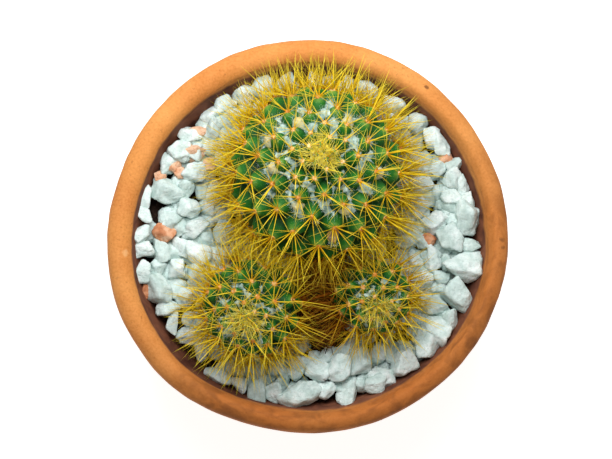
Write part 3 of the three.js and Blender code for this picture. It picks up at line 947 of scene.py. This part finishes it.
def weathering_and_shade(points, outward):
    """Shares of painted shade and damp on the inner wall, of painted shade and wear on the lip, and of
    nearness to the foot.
    """
    height = points[:, 2]
    out = np.hypot(points[:, 0], points[:, 1])
    inner = (out < inner_radius(height) + INNER_NEARNESS) & (height > WALL_DARKENED_ABOVE)
    stain_height = height - WEST_SHADE_AND_DAMP * smoothstep(*FACING_WEST, -outward[:, 0])
    east = smoothstep(*FACING_SHADE_AND_WEAR, outward @ unit(np.array(SHADE_AND_WEAR_TOWARDS)))
    south = smoothstep(*FACING_SOUTH, -outward[:, 1])
    return {
        "damp_and_shade": np.where(inner, 1 - smoothstep(*SHADE_AND_DAMP_HEIGHTS, stain_height), 0),
        "shade_and_wear": np.minimum(SHADE_AND_WEAR_EAST * east + SHADE_AND_WEAR_SOUTH * south, 1) * smoothstep(*SHADE_AND_WEAR_HEIGHTS, height),
        "low": 1 - smoothstep(0, BLOOM_HEIGHT, height),
    }


def build_pot():
    outline = pot_outline()
    points = out_of_round(turned(outline, POT_SIDES))
    outward = unit(points * (1, 1, 0))
    radius = np.repeat(outline[:, 0], POT_SIDES)
    inner_side = smoothstep(RIM_RADIUS - LIP_RADIUS, INNER_RIM_RADIUS, radius)
    shift = inner_side * INNER_SHIFT[0] * inner_shift_share(points[:, 2])
    points += shift[:, None] * (math.cos(INNER_SHIFT[1]), math.sin(INNER_SHIFT[1]), 0)
    points += outward * (shift * INNER_WIDENING / INNER_SHIFT[0])[:, None]
    points += outward * surface_relief(points)[:, None]
    faces = grid_faces(len(outline) + 1, POT_SIDES) % len(points)
    lengths = np.linalg.norm(np.diff(outline, axis=0, prepend=outline[:1]), axis=1)
    pile = Pile()
    pile.add(
        points, [faces], **weathering_and_shade(points, outward),
        round_x=outward[:, 0] * RIM_RADIUS, round_y=outward[:, 1] * RIM_RADIUS,
        across=np.repeat(STREAK_STRETCH * np.cumsum(lengths), POT_SIDES),
    )
    pile.build("terracotta_pot", terracotta(), "terracotta", ["pot"])


# The pebbles

def stone_shape(template, seed):
    """A ball cut by random planes whose edges are slightly worn, about 1 in radius."""
    rng = np.random.default_rng(seed)
    index = np.arange(STONE_PLANES)
    height = 1 - 2 * (index + 0.5) / STONE_PLANES
    ring = np.sqrt(1 - height**2)
    around = index * GOLDEN_ANGLE + rng.uniform(0, 2 * math.pi)
    normals = np.column_stack([ring * np.cos(around), ring * np.sin(around), height])
    normals = unit(normals + rng.uniform(-PLANE_TURN, PLANE_TURN, normals.shape))
    distances = rng.uniform(*PLANE_REACH, STONE_PLANES)
    facing = np.maximum(template @ normals.T, 0) / distances
    reach = (facing**STONE_SHARPNESS).sum(1) ** (-1 / STONE_SHARPNESS)
    reach = np.minimum(reach, CORNER_REACH)
    for dent in unit(rng.normal(size=(STONE_DENTS, 3))):
        reach = reach - DENT_DEPTH * np.exp((template @ dent - 1) / DENT_WIDTH)
    shape = template * layered(template, seed, STONE_ROUGHNESS, reach)[:, None]
    middle = (shape.max(0) + shape.min(0)) / 2
    return (shape - middle) / (shape.max(0) - shape.min(0)) * 2


def pushed_in(x, y, width):
    most = inner_radius(PEBBLE_BED_TOP) * ROUNDEST_SHARE - GAP - PEBBLE_HALF * width
    out = math.hypot(x, y)
    return (x * most / out, y * most / out) if out > most else (x, y)


def clear_of_heads(x, y, size):
    for head in HEADS.values():
        above = max(0, head["centre"][2] - PEBBLE_CEILING)
        girth = math.sqrt(head["radius"] ** 2 - above**2)
        apart = math.hypot(x - head["centre"][0], y - head["centre"][1])
        if apart <= girth + PEBBLE_MARGIN + PEBBLE_HALF * size:
            return False
    return True


def top_pebbles():
    """The stones of the solids: each is x, y, z, length, width, turn in degrees and tilt."""
    draw = seeded(FILL_SEED)
    placed = []

    def place(x, y, length, width, turn):
        x, y = pushed_in(x, y, width)
        if not clear_of_heads(x, y, length):
            return
        height = PEBBLE_FLATNESS * width
        lift = lerp(*PEBBLE_LIFT, draw()) * height
        z = min(PEBBLE_BED_TOP + lift, PEBBLE_CEILING - PEBBLE_TOP * height)
        placed.append((x, y, z, length, width, turn, PEBBLE_TILT * (draw() - 0.5)))

    for row in SEEN_PEBBLES:
        place(*row)
    for _ in range(FILL_TRIES):
        around = draw() * 2 * math.pi
        out = math.sqrt(draw()) * inner_radius(PEBBLE_BED_TOP)
        length = lerp(*FILL_LENGTH, draw())
        x, y = pushed_in(out * math.cos(around), out * math.sin(around), length)
        free = all(
            math.hypot(x - other[0], y - other[1])
            > FILL_CLOSENESS * (length + (other[3] + other[4]) / 2) / 2
            for other in placed
        )
        width = length * lerp(*FILL_WIDTH, draw())
        turn = 180 * draw()
        if free:
            place(x, y, length, width, turn)
    return placed


def place_stone(pile, template, seed, row, tone):
    x, y, z, length, width, turn, tilt = row
    shape = stone_shape(template[0], seed) * (length / 2, width / 2, PEBBLE_FLATNESS * width / 2)
    spin = Matrix.Rotation(math.radians(turn), 3, "Z") @ Matrix.Rotation(tilt, 3, "X")
    points = shape @ np.array(spin).T + (x, y, z)
    points[:, 2] = np.minimum(points[:, 2], STONE_CEILING)
    limit = wall_radius(points) - STONE_TO_WALL
    out = np.hypot(points[:, 0], points[:, 1])
    points[:, :2] *= np.minimum(1, limit / out)[:, None]
    pile.add(points, [template[1]], tone=tone)


def shown_stone(number, row):
    """A stone of the solids as it shows here: moved, spread towards the wall, raised and larger."""
    x, y, z, length, width, turn, tilt = row
    x, y = MOVED_PEBBLES.get(number, (x, y))
    if towards(x, y, LEANING):
        x, y, z = x * LEANING_SPREAD, y * LEANING_SPREAD, z + LEANING_RAISE
    place = np.array([[x, y, z + TOP_RAISE + PEBBLE_FLATNESS * width / 4]])
    nearest = inner_radius(PEBBLE_BED_TOP) * ROUNDEST_SHARE
    spread = lerp(1, wall_radius(place)[0] / nearest, min(1, math.hypot(x, y) / SPREAD_FROM))
    if not towards(x, y, BARE_WEDGE):
        x, y = x * spread, y * spread
    return (x, y, z + TOP_RAISE, length * TOP_GROWTH, width * TOP_GROWTH, turn, tilt)


def low_stone(rng):
    """A stone under the top ones, anywhere in the pot."""
    around = rng.uniform(0, 2 * math.pi)
    out = math.sqrt(rng.uniform(0, 1)) * (inner_radius(PEBBLE_BED_TOP) - UNDER_INSET)
    length = rng.uniform(*UNDER_LENGTH)
    return (
        out * math.cos(around),
        out * math.sin(around),
        rng.uniform(*UNDER_LEVEL),
        length,
        length * rng.uniform(*FILL_WIDTH),
        rng.uniform(0, 180),
        rng.uniform(-UNDER_TILT, UNDER_TILT),
    )


def small_stone(x, y, above, length, turn):
    return (x, y, PEBBLE_BED_TOP + above, length, SMALL_WIDTH * length, turn, SMALL_TILT)


def build_pebbles():
    fine, coarse = ball(4), ball(3)
    rng = np.random.default_rng(SEEDS["pebbles"])
    white = {"north": Pile(), "south": Pile(), "under": Pile()}
    chips = Pile()
    for number, row in enumerate(top_pebbles()):
        if from_bare_patch(*row[:2]) >= 1:
            row = shown_stone(number, row)
            side = "north" if row[1] > 0 else "south"
            place_stone(white[side], fine, SEEDS["top_stones"] + number, row, rng.uniform(*TOP_TONE))
    for number in range(UNDER_COUNT):
        row = low_stone(rng)
        beside_patch = from_bare_patch(*row[:2]) > UNDER_FROM_PATCH
        if beside_patch and clear_of_stems(*row[:3], UNDER_FROM_STEM * row[3]):
            # Painted shade: the low stones are darker than the top ones
            tone = rng.uniform(*UNDER_SHADE_TONE)
            if not in_dark_gap(*row[:2]):
                place_stone(white["under"], coarse, SEEDS["under_stones"] + number, row, tone)
    for number, (x, y, length, turn) in enumerate(GAP_STONES):
        row = small_stone(x, y, GAP_STONE_RAISE, length, turn)
        place_stone(white["under"], coarse, SEEDS["gap_stones"] + number, row, 0)
    for number, (x, y, length) in enumerate(CHIPS):
        row = small_stone(x, y, CHIP_RAISE, length, CHIP_TURN * number)
        pale = PALE_CHIP if y > PALE_CHIPS_FROM else 0
        place_stone(chips, fine, SEEDS["chips"] + number, row, pale + rng.uniform(*CHIP_TONE))
    white_stone = stone("white_stone", srgb(176, 198, 192), srgb(212, 230, 226), srgb(236, 246, 244))
    chip_stone = stone("clay_chip", srgb(168, 98, 62), srgb(212, 148, 108), srgb(234, 194, 162))
    for side, pile in white.items():
        pile.build("crushed_stones_" + side, white_stone, "white_stone", ["white_pebbles"])
    chips.build("clay_chips", chip_stone, "white_stone")


def from_bare_patch(x, y):
    """How far a place lies from the middle of the bare patch, where 1 is its edge."""
    return np.hypot((x - BARE_PATCH[0]) / BARE_PATCH[2], (y - BARE_PATCH[1]) / BARE_PATCH[3])


def towards(x, y, stretch):
    """Whether a place lies in a stretch: a compass angle, half its width, and how far out."""
    middle, half, start = stretch
    aside = math.remainder(math.atan2(y, x) - middle, 2 * math.pi)
    return abs(aside) < half and math.hypot(x, y) > start


def in_dark_gap(x, y):
    """Whether a low stone would fill the dark hole or hide the stretch of bare wall."""
    return towards(x, y, BARE_WALL) or math.hypot(x - HOLE[0], y - HOLE[1]) < HOLE[2]


def clear_of_stems(x, y, z, size):
    for head in HEADS.values():
        radius = head["radius"] - head["tubercle"]
        below = min(abs(head["centre"][2] - z), radius * LOW_STEM_SHARE)
        girth = math.sqrt(radius**2 - below**2)
        if math.hypot(x - head["centre"][0], y - head["centre"][1]) < girth + size:
            return False
    return True


# The heads

def head_turn(head):
    """The rotation from a head's own frame, whose +Z is its axis, to the part's frame."""
    compass = math.radians(head["towards"])
    hinge = Vector((-math.sin(compass), math.cos(compass), 0))
    lean = Matrix.Rotation(math.radians(head["lean"]), 3, hinge)
    return np.array(lean @ Matrix.Rotation(math.radians(head["turn"]), 3, "Z"))


def from_crown(directions, head):
    """The angle between each direction and the head's own axis."""
    return np.arccos(np.clip(directions @ (head_turn(head) @ (0, 0, 1)), -1, 1))


def direction_at(polar, around):
    ring = np.sin(polar)
    return np.stack([ring * np.cos(around), ring * np.sin(around), np.cos(polar)], -1)


def tubercles_of(head):
    """Where each tubercle stands: the golden-angle spiral from the crown down to the pebbles."""
    turn = head_turn(head)
    crown = turn @ (0, 0, 1)
    step = math.radians(head["step"])
    index = np.arange(head["count"])
    polar = step * (index + FIRST_TUBERCLE)
    axis = direction_at(polar, index * GOLDEN_ANGLE) @ turn.T
    tip = np.array(head["centre"]) + axis * head["radius"]
    kept = tip[:, 2] > LOWEST_TUBERCLE
    axis, tip, polar = axis[kept], tip[kept], polar[kept]
    down = unit(axis * (axis @ crown)[:, None] - crown)
    return {
        "axis": axis,
        "down": down,
        "side": np.cross(axis, down),
        "tip": tip,
        "polar": polar,
        "from_up": np.arccos(axis[:, 2]),
        "spacing": head["radius"] * np.sqrt(2 * math.pi * np.sin(polar) * step),
        "age": lerp(YOUNG_SHARE, 1, np.minimum(1, polar / FULL_GROWN_ANGLE)),
    }


def body_rise(directions, tubercles, head):
    """How far the tubercles lift the skin over the globe in each direction, as a share."""
    radius, height = head["radius"], head["tubercle"]
    foot = tubercles["spacing"] * TUBERCLE_GIRTH
    top = AREOLE_RADIUS * np.sqrt(tubercles["age"])
    at_core = lerp(top, foot, height / (height + TUBERCLE_ROOT))
    reach = radius * at_core / (radius - height)
    angle = np.arccos(np.clip(directions @ tubercles["axis"].T, -1, 1))
    across = np.clip((angle * radius - top) / (reach - top), 0, 1)
    rise = 1 - across**TUBERCLE_SLOPE
    return (rise**TUBERCLE_MEETING).sum(1) ** (1 / TUBERCLE_MEETING)


def build_body(name, head, tubercles, skin):
    template, faces = ball(head["fineness"])
    rise = np.minimum(body_rise(template, tubercles, head), MOST_RISE)
    core = head["radius"] - head["tubercle"]
    size, depth = SKIN_BUMPS
    reach = core + head["tubercle"] * rise + depth * bumps(template * core, head["seed"], size)
    points = np.array(head["centre"]) + template * reach[:, None]
    old = smoothstep(*OLD_SKIN, from_crown(template, head)) * OLD_SKIN_SHARE
    pile = Pile()
    pile.add(points, [faces], rise=rise, old=old)
    neck_points, neck_faces = neck_of(head)
    pile.add(neck_points, [neck_faces], rise=0, old=1)
    pile.build(name + "_skin", skin, "cactus", [name])


def neck_of(head):
    """The stem under the globe, down into the soil."""
    girth = (head["radius"] - head["tubercle"]) * STEM_SHARE
    profile = (
        (STEM_CENTRE, STEM_BOTTOM),
        (girth - 1, STEM_BOTTOM),
        (girth, STEM_BOTTOM + 2),
        (girth, STEM_BOTTOM + STEM_DEPTH),
        (STEM_CENTRE, STEM_BOTTOM + STEM_DEPTH + 1),
    )
    points = turned(profile, STEM_SIDES) + (*head["centre"][:2], 0)
    return points, grid_faces(len(profile), STEM_SIDES)


def build_areoles(name, head, tubercles, felt):
    """A woolly pad on each tubercle, where the spines come out."""
    template, faces = ball(2)
    pile = Pile()
    rng = np.random.default_rng(head["seed"] + SEEDS["areoles"])
    wavelength, depth = PAD_FLUFF
    for i in np.flatnonzero(tubercles["polar"] > math.radians(head["tuft"])):
        down, side, axis, tip, age = (tubercles[key][i] for key in ("down", "side", "axis", "tip", "age"))
        size = PAD_SIZE * math.sqrt(age)
        fluff = 1 + depth * bumps(template, SEEDS["fluff"] + i, wavelength)
        shape = template * fluff[:, None] * (size, size, size * PAD_FLATNESS)
        points = shape @ np.array([down, side, axis]) + tip - axis * PAD_SINK
        pale = PAD_PALE * (1 - smoothstep(YOUNG_SHARE, PAD_PALE_UNTIL, age))
        pile.add(points, [faces], tone=pale + rng.uniform(*PAD_TONE))
    pile.build(name + "_areoles", felt, "cactus")


def is_clear(base, tip, head):
    """Whether each spine keeps clear of the pot, the pebbles and the other globes."""
    shares = np.arange(1, SPINE_CHECKS + 1) / SPINE_CHECKS
    points = base[:, None] + (tip - base)[:, None] * shares[:, None]
    out = np.hypot(points[..., 0], points[..., 1])
    space = inner_radius(points[..., 2]) * ROUNDEST_SHARE - SPINE_MARGIN
    clear = ((points[..., 2] > POT_HEIGHT + SPINE_MARGIN) | (out < space)).all(1)
    clear &= (points[..., 2] > PEBBLE_CEILING).all(1)
    for other in HEADS.values():
        if other is head:
            continue
        along = tip - base
        to_other = np.array(other["centre"]) - base
        share = np.clip((to_other * along).sum(1) / (along**2).sum(1), 0, 1)
        nearest = base + along * share[:, None]
        clear &= np.linalg.norm(nearest - other["centre"], axis=1) > other["radius"] + HEAD_MARGIN
    return clear


def bent_clear(base, direction, length, head):
    """Bends spines upwards until they are clear, and tells which ones ever are."""
    direction = direction.copy()
    for _ in range(MOST_BENDS):
        blocked = ~is_clear(base, base + direction * length[:, None], head)
        direction[blocked] += (0, 0, BEND)
        direction = unit(direction)
    return direction, is_clear(base, base + direction * length[:, None], head)


def held_in(base, direction, length):
    """Shortens the spines that would lie far out over the rim."""
    tip = base + direction * length[:, None]
    beyond = np.maximum(np.hypot(tip[:, 0], tip[:, 1]) - FREE_REACH, 0)
    return length - (1 - REACH_BEYOND) * beyond


def spine_fan(kind, head, tubercles, rng):
    """One kind of spine on all the areoles: where each starts, its direction, length and age."""
    stage = smoothstep(*np.radians(kind["ages"]), tubercles[kind["angle"]])
    counts = np.rint(head["crowd"] * lerp(*kind["count"], stage)).astype(int)
    index = np.repeat(np.arange(len(counts)), counts)
    place = np.arange(len(index)) - np.repeat(np.cumsum(counts) - counts, counts)
    start = rng.uniform(0, 2 * math.pi, len(counts))
    around = start[index] + 2 * math.pi * place / counts[index]
    around = (around + rng.normal(0, SPINE_TURN, len(index)))[:, None]
    spread = np.radians(rng.normal(*kind["spread"], len(index)))[:, None]
    axis, down, side, tip = (tubercles[key][index] for key in ("axis", "down", "side", "tip"))
    across = down * np.cos(around) + side * np.sin(around)
    direction = axis * np.cos(spread) + across * np.sin(spread)
    age, stage = tubercles["age"][index], stage[index]
    length = head[kind["measure"]] * lerp(YOUNG_LENGTH, 1, stage)
    length = length * rng.uniform(*kind["length"], len(index))
    scatter = rng.normal(0, kind["scatter"], (2, len(index), 1))
    base = tip + across * SPINE_FOOT + down * scatter[0] + side * scatter[1]
    return base - axis * SPINE_SINK * np.hypot(*scatter), direction, length * head["reach"], age


def curled(rng, share, length):
    """How far each tip is bent aside, at random, for a share of its length."""
    return rng.normal(0, share, (len(length), 3)) * length[:, None]


def tubes(base, direction, length, thickness, curl, sides=3, segments=3):
    """Tapered tubes that start at base and curve by curl: their points, faces and share along."""
    count = len(base)
    share = np.linspace(0, 1, segments + 1)
    helper = np.where(np.abs(direction[:, 2:]) < NEARLY_UPRIGHT, (0, 0, 1), (1, 0, 0))
    across = unit(np.cross(direction, helper))
    other = np.cross(direction, across)
    line = base[:, None] + direction[:, None] * (length[:, None] * share)[..., None]
    line = line + curl[:, None] * (share**2)[None, :, None]
    angles = np.arange(sides) * 2 * math.pi / sides
    ring = across[:, None] * np.cos(angles)[:, None] + other[:, None] * np.sin(angles)[:, None]
    taper = thickness[:, None] * (1 - share) ** TAPER
    rings = line[:, :-1, None] + ring[:, None] * taper[:, :-1, None, None]
    tips = line[:, -1:]
    points = np.concatenate([rings.reshape(count, -1, 3), tips], 1)
    per_tube = segments * sides + 1
    quads = grid_faces(segments, sides)
    last = (segments - 1) * sides
    fan = [(last + i, last + (i + 1) % sides, segments * sides) for i in range(sides)]
    starts = (np.arange(count) * per_tube)[:, None, None]
    quads = (quads + starts).reshape(-1, 4)
    fans = (np.array(fan) + starts).reshape(-1, 3)
    along = np.append(np.repeat(share[:-1], sides), 1)
    return points.reshape(-1, 3), [quads, fans], np.tile(along, count), per_tube


def build_spines(name, head, tubercles, gold):
    rng = np.random.default_rng(head["seed"] + SEEDS["spines"])
    pile = Pile()
    for kind in SPINE_KINDS:
        base, direction, length, age = spine_fan(kind, head, tubercles, rng)
        direction, clear = bent_clear(base, direction, length, head)
        length = held_in(base, direction, length)
        base, direction, length, age = (array[clear] for array in (base, direction, length, age))
        count = len(base)
        thickness = kind["thickness"] * lerp(YOUNG_GIRTH, 1, age) * rng.uniform(*SPINE_GIRTHS, count)
        curl = curled(rng, SPINE_CURL, length)
        curl[:, 2] = np.abs(curl[:, 2])
        points, faces, along, per_tube = tubes(
            base, direction, length, thickness, curl, kind["sides"], SPINE_SEGMENTS
        )
        points[:, 2] = np.minimum(points[:, 2], cad_bounds[1].z / MM)
        low = 1 - smoothstep(BROWN_AT, BROWN_FROM, base[:, 2])
        close = 1 - smoothstep(*NEAR_PATCH, from_bare_patch(*base[:, :2].T))
        # Near the bare patch low spines are darkened as painted shade between the heads
        brown = low * (BROWN + SHADE_BY_PATCH * close)
        tone = np.clip(kind["tone"] + brown + rng.normal(0, BROWN_VARIES, count), 0, MOST_BROWN)
        grown = np.repeat(smoothstep(*GROWN_AGES, age), per_tube)
        pile.add(points, faces, along=along, age=grown, tone=np.repeat(tone, per_tube))
    pile.build(name + "_spines", gold, "cactus")


def build_wool(name, head, tubercles, wool):
    """White wool that fills the valleys between tubercles in patches, with loose strands."""
    template, faces = ball(head["fineness"])
    core = head["radius"] - head["tubercle"]
    skin = core + head["tubercle"] * body_rise(template, tubercles, head)
    polar = from_crown(template, head)
    zone = smoothstep(WOOL_START, WOOL_FULL, polar) * (1 - smoothstep(WOOL_FADE, WOOL_END, polar))
    patches = bumps(template * core, head["seed"] + SEEDS["wool"], WOOL_PATCH_SIZE) * WOOL_PATCHES
    level = (WOOL_LEVEL * head["wool"] + patches) * zone - WOOL_SINK * (1 - zone)
    fluff = layered(template * core, head["seed"], WOOL_FLUFF)
    reach = core + head["tubercle"] * level + fluff
    kept = reach > skin - WOOL_KEPT
    index = np.cumsum(kept) - 1
    faces = index[faces[kept[faces].all(1)]]
    points = np.array(head["centre"]) + template * reach[:, None]
    pile = Pile()
    # The fluff's height sets painted light on the wool's tops and painted shade in its hollows
    pile.add(points[kept], [faces], tone=FLUFF_LIGHT_AND_SHADE * fluff[kept])
    rng = np.random.default_rng(head["seed"] + SEEDS["hairs"])
    shown = np.flatnonzero(reach > skin - WOOL_SHOWN)
    chosen = rng.choice(shown, round(STRANDS_PER_AREA * core**2))
    up = template[chosen]
    add_hairs(pile, rng, points[chosen] - up * STRAND_FOOT, up * STRAND_UP, STRAND_LENGTH)
    add_halo(pile, rng, tubercles)
    add_bud_wool(pile, rng, head, tubercles)
    pile.build(name + "_wool", wool, "cactus")


def add_halo(pile, rng, tubercles):
    """Hairs that stand out round the tubercles' tips, as far down as there is wool."""
    haired = np.repeat(np.flatnonzero(tubercles["polar"] < WOOL_END), HALO_HAIRS)
    axis, tip = tubercles["axis"][haired], tubercles["tip"][haired]
    sideways = unit(np.cross(axis, rng.normal(0, 1, (len(haired), 3))))
    base = tip + sideways * HALO_FOOT - axis * HALO_SINK
    add_hairs(pile, rng, base, sideways * HALO_OUT - axis * HALO_SINK, HALO_LENGTH)


def add_bud_wool(pile, rng, head, tubercles):
    """Hairs round the shoulder of each bud, leaning towards its tip."""
    for axis in bud_frames(head, tubercles):
        around = unit(rng.normal(0, 1, (BUD_HAIRS, 3)))
        height = head["radius"] - head["tubercle"] - BUD_SINK + BUD_SHOULDER * BUD_LENGTH
        base = head["centre"] + axis * height + around * BUD_RADIUS * BUD_HAIR_FOOT
        add_hairs(pile, rng, base, around * BUD_HAIR_OUT + axis * BUD_HAIR_UP, BUD_HAIR_LENGTH)


def add_hairs(pile, rng, base, lean, lengths):
    """Loose white hairs from base, leaning towards a side by more or less."""
    count = len(base)
    direction = unit(lean + unit(rng.normal(0, 1, (count, 3))))
    length = rng.uniform(*lengths, count)
    curl = curled(rng, STRAND_CURL, length)
    thickness = STRAND_THICKNESS * rng.uniform(*STRAND_GIRTHS, count)
    points, faces, _, per_tube = tubes(base, direction, length, thickness, curl)
    tone = np.repeat(rng.uniform(*STRAND_TONE, count), per_tube)
    pile.add(points, faces, tone=tone)


def build_tuft(name, head, gold):
    """The dense tuft of the youngest spines on the crown, over a dome that they grow from."""
    rng = np.random.default_rng(head["seed"] + SEEDS["tuft"])
    turn = head_turn(head)
    reach = math.radians(head["tuft"])
    girth = head["radius"] * math.sin(reach)
    pile = Pile()
    template, faces = ball(4)
    lumps = layered(template, head["seed"], DOME_LUMPS, 1)
    dome = template * (DOME_WIDTH * girth, DOME_WIDTH * girth, DOME_HEIGHT) * lumps[:, None]
    dome = (dome + (0, 0, head["radius"] - DOME_SINK)) @ turn.T + head["centre"]
    pile.add(dome, [faces], along=DOME_ALONG, age=0, tone=DOME_TONE)
    count = round(TUFT_PER_AREA * math.pi * girth**2)
    around = rng.uniform(0, 2 * math.pi, count)
    ragged = 1 + TUFT_RAGGED * np.cos(TUFT_LOBES * around + head["seed"])
    polar = np.sqrt(rng.uniform(0, 1, count)) * reach * ragged
    base = head["centre"] + direction_at(polar, around) @ turn.T * (head["radius"] - TUFT_SINK)
    leaning = np.abs(TUFT_LEAN * polar / reach + rng.normal(0, TUFT_LEAN_VARIES, count))
    lean = direction_at(leaning, around + rng.normal(0, TUFT_TURN, count))
    length = rng.uniform(*TUFT_LENGTH, count) * head["reach"]
    curl = curled(rng, TUFT_CURL, length)
    thickness = rng.uniform(*TUFT_THICKNESS, count)
    points, faces, along, per_tube = tubes(base, unit(lean @ turn.T), length, thickness, curl)
    tone = np.repeat(np.clip(rng.normal(0, TUFT_TONE, count), 0, MOST_TUFT_TONE), per_tube)
    pile.add(points, faces, along=along, age=0, tone=tone)
    pile.build(name + "_tuft", gold, "cactus")


def build_litter(brown):
    """Old brown spines that lie between the heads, painted darker the deeper they lie as painted shade.
    """
    rng = np.random.default_rng(SEEDS["litter"])
    around = rng.uniform(0, 2 * math.pi, LITTER_COUNT)
    out = np.sqrt(rng.uniform(0, 1, LITTER_COUNT)) * LITTER_SPREAD
    x = BARE_PATCH[0] + BARE_PATCH[2] * out * np.cos(around)
    y = BARE_PATCH[1] + BARE_PATCH[3] * out * np.sin(around)
    z = SOIL_TOP + LITTER_RAISE + LITTER_DEPTH * rng.uniform(0, 1, LITTER_COUNT) ** LITTER_SETTLING
    base = np.column_stack([x, y, z])
    outside = np.ones(LITTER_COUNT, bool)
    for head in HEADS.values():
        core = head["radius"] - head["tubercle"] * LITTER_IN_HEAD
        outside &= np.linalg.norm(base - head["centre"], axis=1) > core
    base = base[outside]
    count = len(base)
    direction = unit(rng.normal(0, 1, (count, 3)) * (1, 1, LITTER_FLATNESS))
    length = rng.uniform(*LITTER_LENGTH, count)
    curl = curled(rng, LITTER_CURL, length)
    thickness = rng.uniform(*LITTER_THICKNESS, count)
    base = base - direction * length[:, None] / 2
    points, faces, along, per_tube = tubes(base, direction, length, thickness, curl, sides=4)
    # Painted shade: the deeper an old spine lies, the darker it is
    shade_by_depth = 1 - (base[:, 2] - SOIL_TOP) / LITTER_DEPTH
    tone = np.repeat(np.clip(shade_by_depth + rng.normal(*LITTER_TONE, count), 0, 1), per_tube)
    pile = Pile()
    pile.add(points, faces, along=along, age=1, tone=tone)
    pile.build("old_spines", brown, "cactus")


def bud_frames(head, tubercles):
    """Where each bud stands: in the gap between the three nearest tubercles."""
    turn = head_turn(head)
    for compass, polar in head["buds"]:
        around = math.radians(compass - head["turn"])
        wanted = turn @ direction_at(math.radians(polar), around)
        nearest = np.argsort(-(tubercles["axis"] @ wanted))[:3]
        yield unit(tubercles["axis"][nearest].sum(0))


def build_buds(name, head, tubercles, bud):
    """Small cream buds, each a ribbed body with a closed tip of narrow petals."""
    pile = Pile()
    share = np.linspace(0, 1, BUD_ROWS)
    around = np.arange(BUD_SIDES) * 2 * math.pi / BUD_SIDES
    first, stretch, fullness = BUD_SWELL
    swell = np.sin(np.clip(share * stretch + first, 0, 1) * math.pi) ** fullness * BUD_RADIUS
    petals = 1 + PETAL_DEPTH * np.cos(BUD_PETALS * around) * smoothstep(*PETAL_START, share)[:, None]
    radius = swell[:, None] * petals
    height = head["radius"] - head["tubercle"] - BUD_SINK + BUD_LENGTH * share
    for number, axis in enumerate(bud_frames(head, tubercles)):
        across = unit(np.cross(axis, BUD_FACING))
        other = np.cross(axis, across)
        ring = across * np.cos(around)[:, None] + other * np.sin(around)[:, None]
        points = axis * height[:, None, None] + ring * radius[..., None]
        points = points.reshape(-1, 3) + head["centre"]
        pile.add(
            points, [grid_faces(BUD_ROWS, BUD_SIDES)], along=np.repeat(share, BUD_SIDES),
            dried=DRIED if number == len(head["buds"]) - 1 else 0,
        )
    pile.build(name + "_buds", bud, "cactus")


def build_heads():
    skin, gold, felt, wool, bud = (
        skin_material(),
        spine_material("golden_spines", YOUNG_GOLD, GROWN_GOLD, srgb(142, 68, 4)),
        felt_material(),
        wool_material(),
        bud_material(),
    )
    tuft_gold = spine_material("crown_tuft", TUFT_GOLD, TUFT_GOLD, srgb(200, 186, 70))
    old_gold = spine_material("old_spines", OLD_BROWN_AND_SHADE, OLD_BROWN_AND_SHADE, srgb(32, 16, 3))
    for name, head in HEADS.items():
        tubercles = tubercles_of(head)
        build_body(name, head, tubercles, skin)
        build_areoles(name, head, tubercles, felt)
        build_spines(name, head, tubercles, gold)
        build_wool(name, head, tubercles, wool)
        build_tuft(name, head, tuft_gold)
        if head["buds"]:
            build_buds(name, head, tubercles, bud)
    build_litter(old_gold)


# The studio

def build_floor():
    shader = Shader("studio_floor", roughness=0.9, specular=0.1)
    shader.colour(FLOOR_GREY)
    shader.surface.inputs["Emission Color"].default_value = (1, 1, 1, 1)
    shader.surface.inputs["Emission Strength"].default_value = FLOOR_GLOW
    mesh = bpy.data.meshes.new("floor")
    corners = [(x * FLOOR_HALF, y * FLOOR_HALF, 0) for x, y in ((-1, -1), (1, -1), (1, 1), (-1, 1))]
    mesh.from_pydata(corners, [], [(0, 1, 2, 3)])
    mesh.materials.append(shader.material)
    floor = bpy.data.objects.new("floor", mesh)
    bpy.context.scene.collection.objects.link(floor)


def build_lights():
    world = bpy.data.worlds.new("studio")
    world.use_nodes = True
    background = world.node_tree.nodes["Background"]
    background.inputs["Color"].default_value = SKY
    background.inputs["Strength"].default_value = SKY_STRENGTH
    bpy.context.scene.world = world
    light = bpy.data.lights.new("key", "AREA")
    light.size = LAMP_SIZE * MM
    light.energy = LAMP_POWER
    lamp = bpy.data.objects.new("key", light)
    place, aim = Vector(LAMP_PLACE), Vector(LAMP_AIM)
    lamp.location = place * MM
    lamp.rotation_euler = (aim - place).to_track_quat("-Z", "Y").to_euler()
    lamp.visible_camera = False
    bpy.context.scene.collection.objects.link(lamp)


def build_camera():
    camera = bpy.data.objects.new("camera", bpy.data.cameras.new("camera"))
    back = Vector((-math.tan(TILT_WEST), -math.tan(TILT_SOUTH), 1)).normalized()
    right = Vector((0, 1, 0)).cross(back).normalized()
    up = back.cross(right)
    place = (Vector(AIM) + back * CAMERA_DISTANCE) * MM
    turn = Matrix((right, up, back)).transposed().to_4x4()
    camera.matrix_world = Matrix.Translation(place) @ turn
    camera.data.lens = LENS
    camera.data.sensor_width = SENSOR_WIDTH
    bpy.context.scene.collection.objects.link(camera)
    bpy.context.scene.camera = camera


build_camera()
build_lights()
build_floor()
build_pot()
build_pebbles()
build_heads()
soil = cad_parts["soil"]
soil.data.materials.clear()
soil.data.materials.append(soil_material())
bpy.context.scene.view_settings.view_transform = "Standard"
